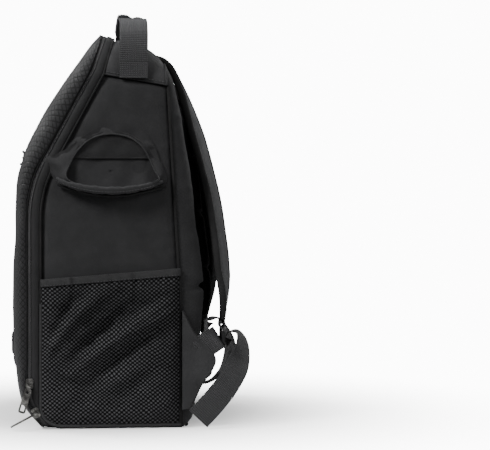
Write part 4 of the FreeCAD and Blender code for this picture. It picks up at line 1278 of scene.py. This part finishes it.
TAILS = {"right": [((140, 140.4, 108), (0, -0.3, 1)), ((142.5, 149, 114), (0, -0.1, 1)),
    ((148, 158.5, 110), (0.2, 0.7, 0.6)), ((155, 161, 96), (0.6, 0.8, 0.1)),
    ((167, 154, 75), (0.95, 0.35, 0.1)), ((181, 140, 53), (1, 0.2, 0.1)),
    ((188, 122, 32), (1, 0.1, 0.1)), ((191, 104, 13), (1, 0.1, 0.1))],
    "left": [((-140, 140.4, 108), (0, -0.3, 1)), ((-143, 151, 112), (0, 0, 1)),
    ((-148, 164, 102), (0, 0.7, 0.7)), ((-153, 172.5, 82), (-0.3, 0.9, 0.2)),
    ((-158, 173, 60), (-0.5, 0.85, -0.1)), ((-163, 166, 42), (-0.35, 0.8, -0.5)),
    ((-167, 156, 29), (-0.1, 0.6, -0.8)), ((-168, 145, 20.5), (0, 0.2, -1)),
    ((-168, 133, 18.5), (0, -0.2, -1)), ((-168, 123, 25), (0, -0.8, -0.6)),
    ((-168, 120.5, 36), (0, -1, 0.1)), ((-168, 127, 46), (0, -0.6, 0.8)),
    ((-168, 138, 48), (0, 0.3, 1)), ((-168, 146, 41), (0, 0.9, 0.4)),
    ((-168, 146, 32), (0, 0.8, -0.6)), ((-168, 138, 26), (0, 0.2, -1)),
    ((-168, 129.5, 30), (0, -0.9, -0.5)), ((-168, 130, 38), (0, -0.7, 0.7)),
    ((-168, 137, 41), (0, 0.3, 1))],}
FEED = [((173.8, 104, 88.5), (0, 0.66, -0.75)), ((174.6, 112, 97), (0, 0.66, -0.75)),
    ((174.0, 119, 102.5), (0.06, 0.64, -0.75)), ((168, 126, 106), (0.35, 0.5, -0.7)),
    ((156, 131, 107), (0.8, 0.1, -0.5)), ((146, 133.4, 107), (1, 0, -0.1)),
    ((141, 135.6, 106.4), (1, 0, 0))]


def webbing():
    for sign, side in SIDES:
        body = "strap_" + side
        data = smooth([c + n for c, n in TAILS[side]], 170)
        across = np.cross(data[:, 3:6], unit(np.gradient(data[:, :3], axis=0)))
        sweep("web_tail_band_" + side, data[:, :3], across, oval(WEB, 2.1, 6, 24), "webbing", body,
            ["web_tail_" + side])
        feed = [((sign * c[0], c[1], c[2]), (sign * a[0], a[1], a[2])) for c, a in FEED]
        data = smooth([c + a for c, a in feed], 60)
        made = sweep("adjuster_band_" + side, data[:, :3], data[:, 3:6], oval(WEB, 2.0, 6, 24),
            "webbing", None, ["adjuster_web_" + side])
        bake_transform(made)


webbing()


def wings():
    front = [(86, 22, 0), (86, 60, 0), (86, 100, 0), (86, 141, 0)]
    for sign, side in SIDES:
        f = resample(front, 40)
        b = smooth([(95.5, 24, 0), (108, 50, 0), (125, 84.5, 0), (114, 98.5, 0), (102, 112, 0),
            (86.6, 140.6, 0)], 40)
        t = linspace(0, 1, 22)[:, None, None]
        G = f[None] + (b[None] - f[None]) * t
        y, z = G[:, :, 0], G[:, :, 1]
        x = HALF + 3.0 + 0.9 * waves(y, z, 34, 101) * clamp((y - 88) / 14) + 0.03 * (y - 86)
        P = layers(sign * x, y, z)
        slab("wing_panel_" + side, P, 2.6, "nylon_light", "case", ["wing_" + side], uv="yz",
            side=-sign)
        tube("wing_hem_" + side, P[-1] + [-sign * 1.0, 0, 0], 1.5, "binding", "case", sides=8)
        runs = []
        for inset in (3.0, 7.5):
            mid = np.array([sign * (HALF + 3.4), 98, 84])
            way = unit(mid - P[-1])
            runs.append((P[-1] + way * inset + [sign * 0.5, 0, 0])[3:-3])
        across = [[(sign * (HALF + 3.7), 99, 112), (sign * (HALF + 4.2), 118, 86)],
            [(sign * (HALF + 3.6), 94, 108), (sign * (HALF + 4.1), 112, 80)]]
        stitches("wing_stitches_" + side, runs + across, "case", pitch=3.6, length=2.5, radius=0.36)


wings()


def trolley_and_label():
    share = linspace(-1, 1, 60)
    path = columns(share * 121, 126.5 - 13.5 * share**2, np.full(60, 127.0))
    sweep("trolley_strap", path, (0, 0, 1), oval(38, 2.4, 6, 24), "nylon_light", "case",
        ["trolley_band"])
    runs = []
    for dz in (-15.5, 15.5):
        runs.append(path + [0, 1.5, dz])
    stitches("trolley_stitches", runs, "case")
    for sign, side in SIDES:
        y, z = lattice(linspace(0, 1, 8), linspace(108, 146, 20))
        x = sign * (116 + 10 * y)
        P = layers(x, np.full_like(x, 113.6) + 0.2 * waves(x, z, 9, 3), z)
        slab("trolley_tab_" + side, P, 2.0, "nylon_light", "case", side=sign)
    y, z = lattice(linspace(106.2, 131, 24), linspace(0, 1, 18))
    low = 38.5 + 0.25 * (y - 106)
    zz = low + 18 * z + 1.2 * np.sin((y - 106) / 9)
    x = -149.4 - 2.2 * np.sin((y - 106) / 25 * 2.6) + 0 * z
    slab("care_tag", layers(x, y, zz), 0.5, "label", "case", ["care_label"], uv="yz")


trolley_and_label()

# --- foot ---

def foot():
    x, y = lattice(linspace(-169, 169, 60), linspace(-64, 88, 40))
    z = np.full_like(x, 0.35) + 0.35 * (1 - fade(169 - np.abs(x), 4)) * 3
    slab("foot_panel", layers(x, y, z), -2.8, "nylon_dark", "case", ["bottom_panel"], uv="xy",
        side=1)
    for sign, side in SIDES:
        run = [(sign * (HALF - 1.2), yy, 3.4) for yy in linspace(-60, 86, 60)]
        tube("foot_roll_" + side, run, 2.9, "binding", "case", sides=12)
    run = [(xx, 91.5, 3.2) for xx in linspace(-160, 160, 60)]
    tube("foot_roll_back", run, 2.6, "binding", "case", sides=12)
    x, t = lattice(linspace(-160, 160, 60), linspace(0, 1, 24))
    line = smooth([(-58, 1.7, 0), (-70, 1.9, 0), (-76, 2.9, 0), (-80, 5.4, 0), (-90, 16.6, 0)], 24)
    y = interp(t, linspace(0, 1, 24), line[:, 0])
    z = interp(t, linspace(0, 1, 24), line[:, 1])
    made = slab("lid_foot_hinge", layers(x, y, z), 1.0, "nylon_dark", None, uv="xy", side=-1)
    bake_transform(made)
    line = smooth([(-77.8, 7.6, 0), (-86, 16, 0), (-97, 29, 0), (-103, 44, 0), (-106.5, 68, 0)], 24)
    y = interp(t, linspace(0, 1, 24), line[:, 0])
    z = interp(t, linspace(0, 1, 24), line[:, 1])
    slab("lid_foot_lining", layers(x * 1.012, y, z), 1.0, "nylon_dark", "lid", uv=layers(x, z)
        * MM, side=-1)


foot()

# --- lid's pocket, zip and badge ---

def lid_face(z):
    keys = np.array([(b[1], b[0]) for a, b in LID_KEYS])
    return interp(z, keys[:, 0], keys[:, 1])


POCKET_LOW, POCKET_TOP = 66, 318


def lid_front():
    nu, nv = 90, 90
    u, v = lattice(linspace(0, 1, nu), linspace(0, 1, nv))
    z = POCKET_LOW + (POCKET_TOP - POCKET_LOW) * v
    corner = 26
    near = clamp((corner - (z - POCKET_LOW)) / corner)
    w = 137 - corner * (1 - np.sqrt(clamp(1 - near**2)))
    x = -w + 2 * w * u
    d = np.minimum(np.minimum(w - np.abs(x), z - POCKET_LOW), (POCKET_TOP - z) + 4)
    out = 1.2 + 4.0 * fade(d, 9) + 0.9 * waves(x, z, 80, 121) * fade(d, 12)
    y = lid_face(z) - out
    P = layers(x, y, z)
    # painted shade: the lid pocket's ripstop is a darker, duller copy of the side pocket's cloth
    made = slab("lid_pocket_cloth", P, 2.4, "lid_ripstop_painted_shade", "lid", ["lid_pocket"], uv="xz", side=1)
    rim = joined(P[0, ::-1], P[:, 0], P[-1, :])
    tube("lid_pocket_piping", resample(rim, 300) + [0, 0.3, 0], 1.2, "binding", "lid", sides=8)
    x = linspace(-131, 131, 160)
    zz = 323.0
    base = columns(x, np.full_like(x, lid_face(zz)) - 1.5, np.full_like(x, zz))
    coil("lid_pocket_coil", base + [0, -0.6, 2.2], 1.1, "lid")
    xx, tt = lattice(x, linspace(0, 1, 8))
    zz = 318 + 14 * tt
    yy = lid_face(zz) - 1.6 - 1.6 * np.abs(tt - 0.5) ** 1.5
    slab("lid_pocket_tape", layers(xx, yy, zz), 0.9, "tape", "lid", ["lid_pocket_zip"], uv="zx",
        side=-1)
    for zz in (317.4, 332.4):
        run = columns(x, np.full_like(x, lid_face(zz)) - 3.2, np.full_like(x, zz))
        tube("lid_pocket_welt_%d" % int(zz), run, 1.7, "binding", "lid", sides=10)
    nu, nv = 40, 22
    u, v = lattice(linspace(-1, 1, nu), linspace(-1, 1, nv))
    r = (np.abs(u) ** 8 + np.abs(v) ** 8) ** (1 / 8)
    shrink = np.where(r > 0, np.maximum(np.abs(u), np.abs(v)) / np.maximum(r, 1e-6), 1)
    x = 86 + 26 * u * shrink
    z = 98.2 + 13.6 * v * shrink
    y = lid_face(z) - 5.6 - 1.6 * clamp((1 - np.maximum(np.abs(u), np.abs(v))) * 8)
    uv = layers(26 * (u + 1), 13.6 * (v + 1)) * MM
    slab("lid_patch", layers(x, y, z), 1.4, "badge", "lid", ["lid_badge"], uv=uv, side=1)


lid_front()

# --- padded insert: the floor, shelves and dividers are foam boards, the rest padded copies ---

def cushion_board(node, body):
    """A foam board in a node's box, with crowned faces and rounded edges."""
    low, high = (np.array(c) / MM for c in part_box(node))
    mid, half = (low + high) / 2, (high - low) / 2 - BOARD_GAP
    thin = int(np.argmin(half))
    a, b = [k for k in range(3) if k != thin]
    n = 34
    g = np.sin(linspace(-1, 1, n) * math.pi / 2)
    u, v = lattice(g, g)
    verts, uvs = [], []
    edge = np.minimum(half[a] * (1 - np.abs(u)), half[b] * (1 - np.abs(v)))
    r = half[thin]
    lift = r * np.sqrt(clamp(1 - (1 - clamp(edge / r)) ** 2))
    lift = lift * (0.86 + 0.14 * fade(edge, 30)) + 0.25 * waves(u * half[a], v * half[b], 70,
        7) * fade(edge, 20)
    for s in (1, -1):
        P = np.zeros((n, n, 3))
        P[:, :, a] = mid[a] + u * half[a]
        P[:, :, b] = mid[b] + v * half[b]
        P[:, :, thin] = mid[thin] + s * np.minimum(lift, r)
        verts.append(P.reshape(-1, 3))
        uvs.append(layers(u * half[a], v * half[b]).reshape(-1, 2) * MM)
    k = n * n
    faces = grid_faces(n, n) + grid_faces(n, n, start=k, flip=True)
    made = piece(node + "_board", np.concatenate(verts), faces, "lining", body,
        np.concatenate(uvs), [node])
    work = bmesh.new()
    work.from_mesh(made.data)
    bmesh.ops.remove_doubles(work, verts=work.verts, dist=1e-6)
    bmesh.ops.recalc_face_normals(work, faces=work.faces)
    work.to_mesh(made.data)
    work.free()
    inflated(made, "lining", 4.0, 1.2)


def softened(node, body, look, voxel=4.0, swell=0.0):
    """A padded copy of a node: its edges round off and its faces swell between its seams."""
    made = bpy.data.objects.new(node + "_padded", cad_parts[node].data.copy())
    bpy.context.scene.collection.objects.link(made)
    even_mesh(made, voxel, 6)
    co = points_of(made.data)
    rise = swell * (waves(co[:, 0] + co[:, 1], co[:, 2], 60, 9) - 0.6)
    move_points(made.data, co + normals_of(made.data) * rise[:, None])
    dress(made, look)
    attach(made, body)
    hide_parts(node)


def insert():
    for node in ("insert_floor", "shelf_lower", "shelf_upper"):
        cushion_board(node, "case")
    for node in ("insert_back", "insert_side_right", "insert_side_left"):
        softened(node, "case", "lining", swell=0.5)
    for side in ("right", "left"):
        cushion_board("divider_" + side, "divider_" + side)
    softened("lid_liner", "lid", "lining", voxel=3.0, swell=0.3)
    softened("lid_foam", "lid", "nylon_dark", voxel=4.0)
    softened("lid_organiser", "lid", "mesh", voxel=3.0, swell=0.8)


def kept_nodes():
    """Hard parts whose shape is right keep it and get the detailed finish."""
    for node, look in (("base_board", "acetal"), ("slider_upper", "zinc"), ("pull_upper", "zinc"),
                       ("slider_lower", "zinc"), ("pull_lower", "zinc"), ("pocket_slider", "zinc"),
                       ("pocket_pull", "zinc")):
        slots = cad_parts[node].material_slots
        for slot in slots:
            slot.material = LOOKS[look][0]


kept_nodes()
insert()

# --- camera, light and floor ---

def aim(made, at):
    way = Vector(at) - made.location
    made.rotation_euler = way.to_track_quat("-Z", "Y").to_euler()


def floor_material():
    """Pale and plain round the object, fading out to the white studio."""
    net = Net("Pale_Floor")
    net.finish(net.blend(net.noise(3.0), (0.84, 0.84, 0.84), (0.88, 0.88, 0.88)), 0.6)
    reach = net.new("ShaderNodeVectorMath")
    reach.operation = "LENGTH"
    net.link(net.place, reach.inputs[0])
    clear = net.new("ShaderNodeBsdfTransparent")
    mix = net.new("ShaderNodeMixShader")
    net.link(net.ramp(reach.outputs["Value"], 0.12, 0.62), mix.inputs[0])
    net.link(net.shader.outputs[0], mix.inputs[1])
    net.link(clear.outputs[0], mix.inputs[2])
    net.link(mix.outputs[0], net.tree.nodes["Material Output"].inputs[0])
    return net.material


def studio_world():
    """A soft grey room light, with a white backdrop behind the object."""
    world = bpy.context.scene.world or bpy.data.worlds.new("Studio")
    bpy.context.scene.world = world
    world.use_nodes = True
    tree = world.node_tree
    soft = tree.nodes["Background"]
    soft.inputs[0].default_value = (1.0, 1.0, 1.0, 1.0)
    soft.inputs[1].default_value = ROOM_LIGHT
    white = tree.nodes.new("ShaderNodeBackground")
    white.inputs[0].default_value = (1.0, 1.0, 1.0, 1.0)
    white.inputs[1].default_value = BACKDROP
    path = tree.nodes.new("ShaderNodeLightPath")
    mix = tree.nodes.new("ShaderNodeMixShader")
    tree.links.new(path.outputs["Is Camera Ray"], mix.inputs[0])
    tree.links.new(soft.outputs[0], mix.inputs[1])
    tree.links.new(white.outputs[0], mix.inputs[2])
    tree.links.new(mix.outputs[0], tree.nodes["World Output"].inputs[0])


LIGHTS = (  # name, place, size in metres and power in watts
    ("Key", (1.25, -1.8, 2.0), 0.7, 116.0),
    ("Fill", (1.7, 1.9, 1.5), 0.8, 30.0),
    ("Other_Side", (-1.2, -2.0, 2.0), 0.7, 86.0),
    ("Back_Light", (-1.3, 2.0, 1.6), 1.0, 26.0),
    ("Top", (0.1, 0.2, 2.4), 0.8, 20.0),
)
LENS, CAMERA_SPOT, CAMERA_AIM = 120.0, (0.17 + 1.96, -0.03, 0.262), (0.17, 0.162, 0.2436)


def stage():
    bpy.ops.mesh.primitive_grid_add(x_subdivisions=2, y_subdivisions=2, size=2.6,
        location=(0, 0, 0))
    floor = bpy.context.object
    floor.name = "studio_floor"
    floor.data.materials.append(floor_material())
    studio_world()
    for name, spot, size, power in LIGHTS:
        data = bpy.data.lights.new(name, "AREA")
        data.size = size
        data.energy = power
        light = bpy.data.objects.new(name, data)
        light.location = spot
        bpy.context.scene.collection.objects.link(light)
        aim(light, (0, 0, 0.25))
    data = bpy.data.cameras.new("Camera")
    data.lens = LENS
    camera = bpy.data.objects.new("Camera", data)
    camera.location = CAMERA_SPOT
    bpy.context.scene.collection.objects.link(camera)
    aim(camera, CAMERA_AIM)
    bpy.context.scene.camera = camera


stage()
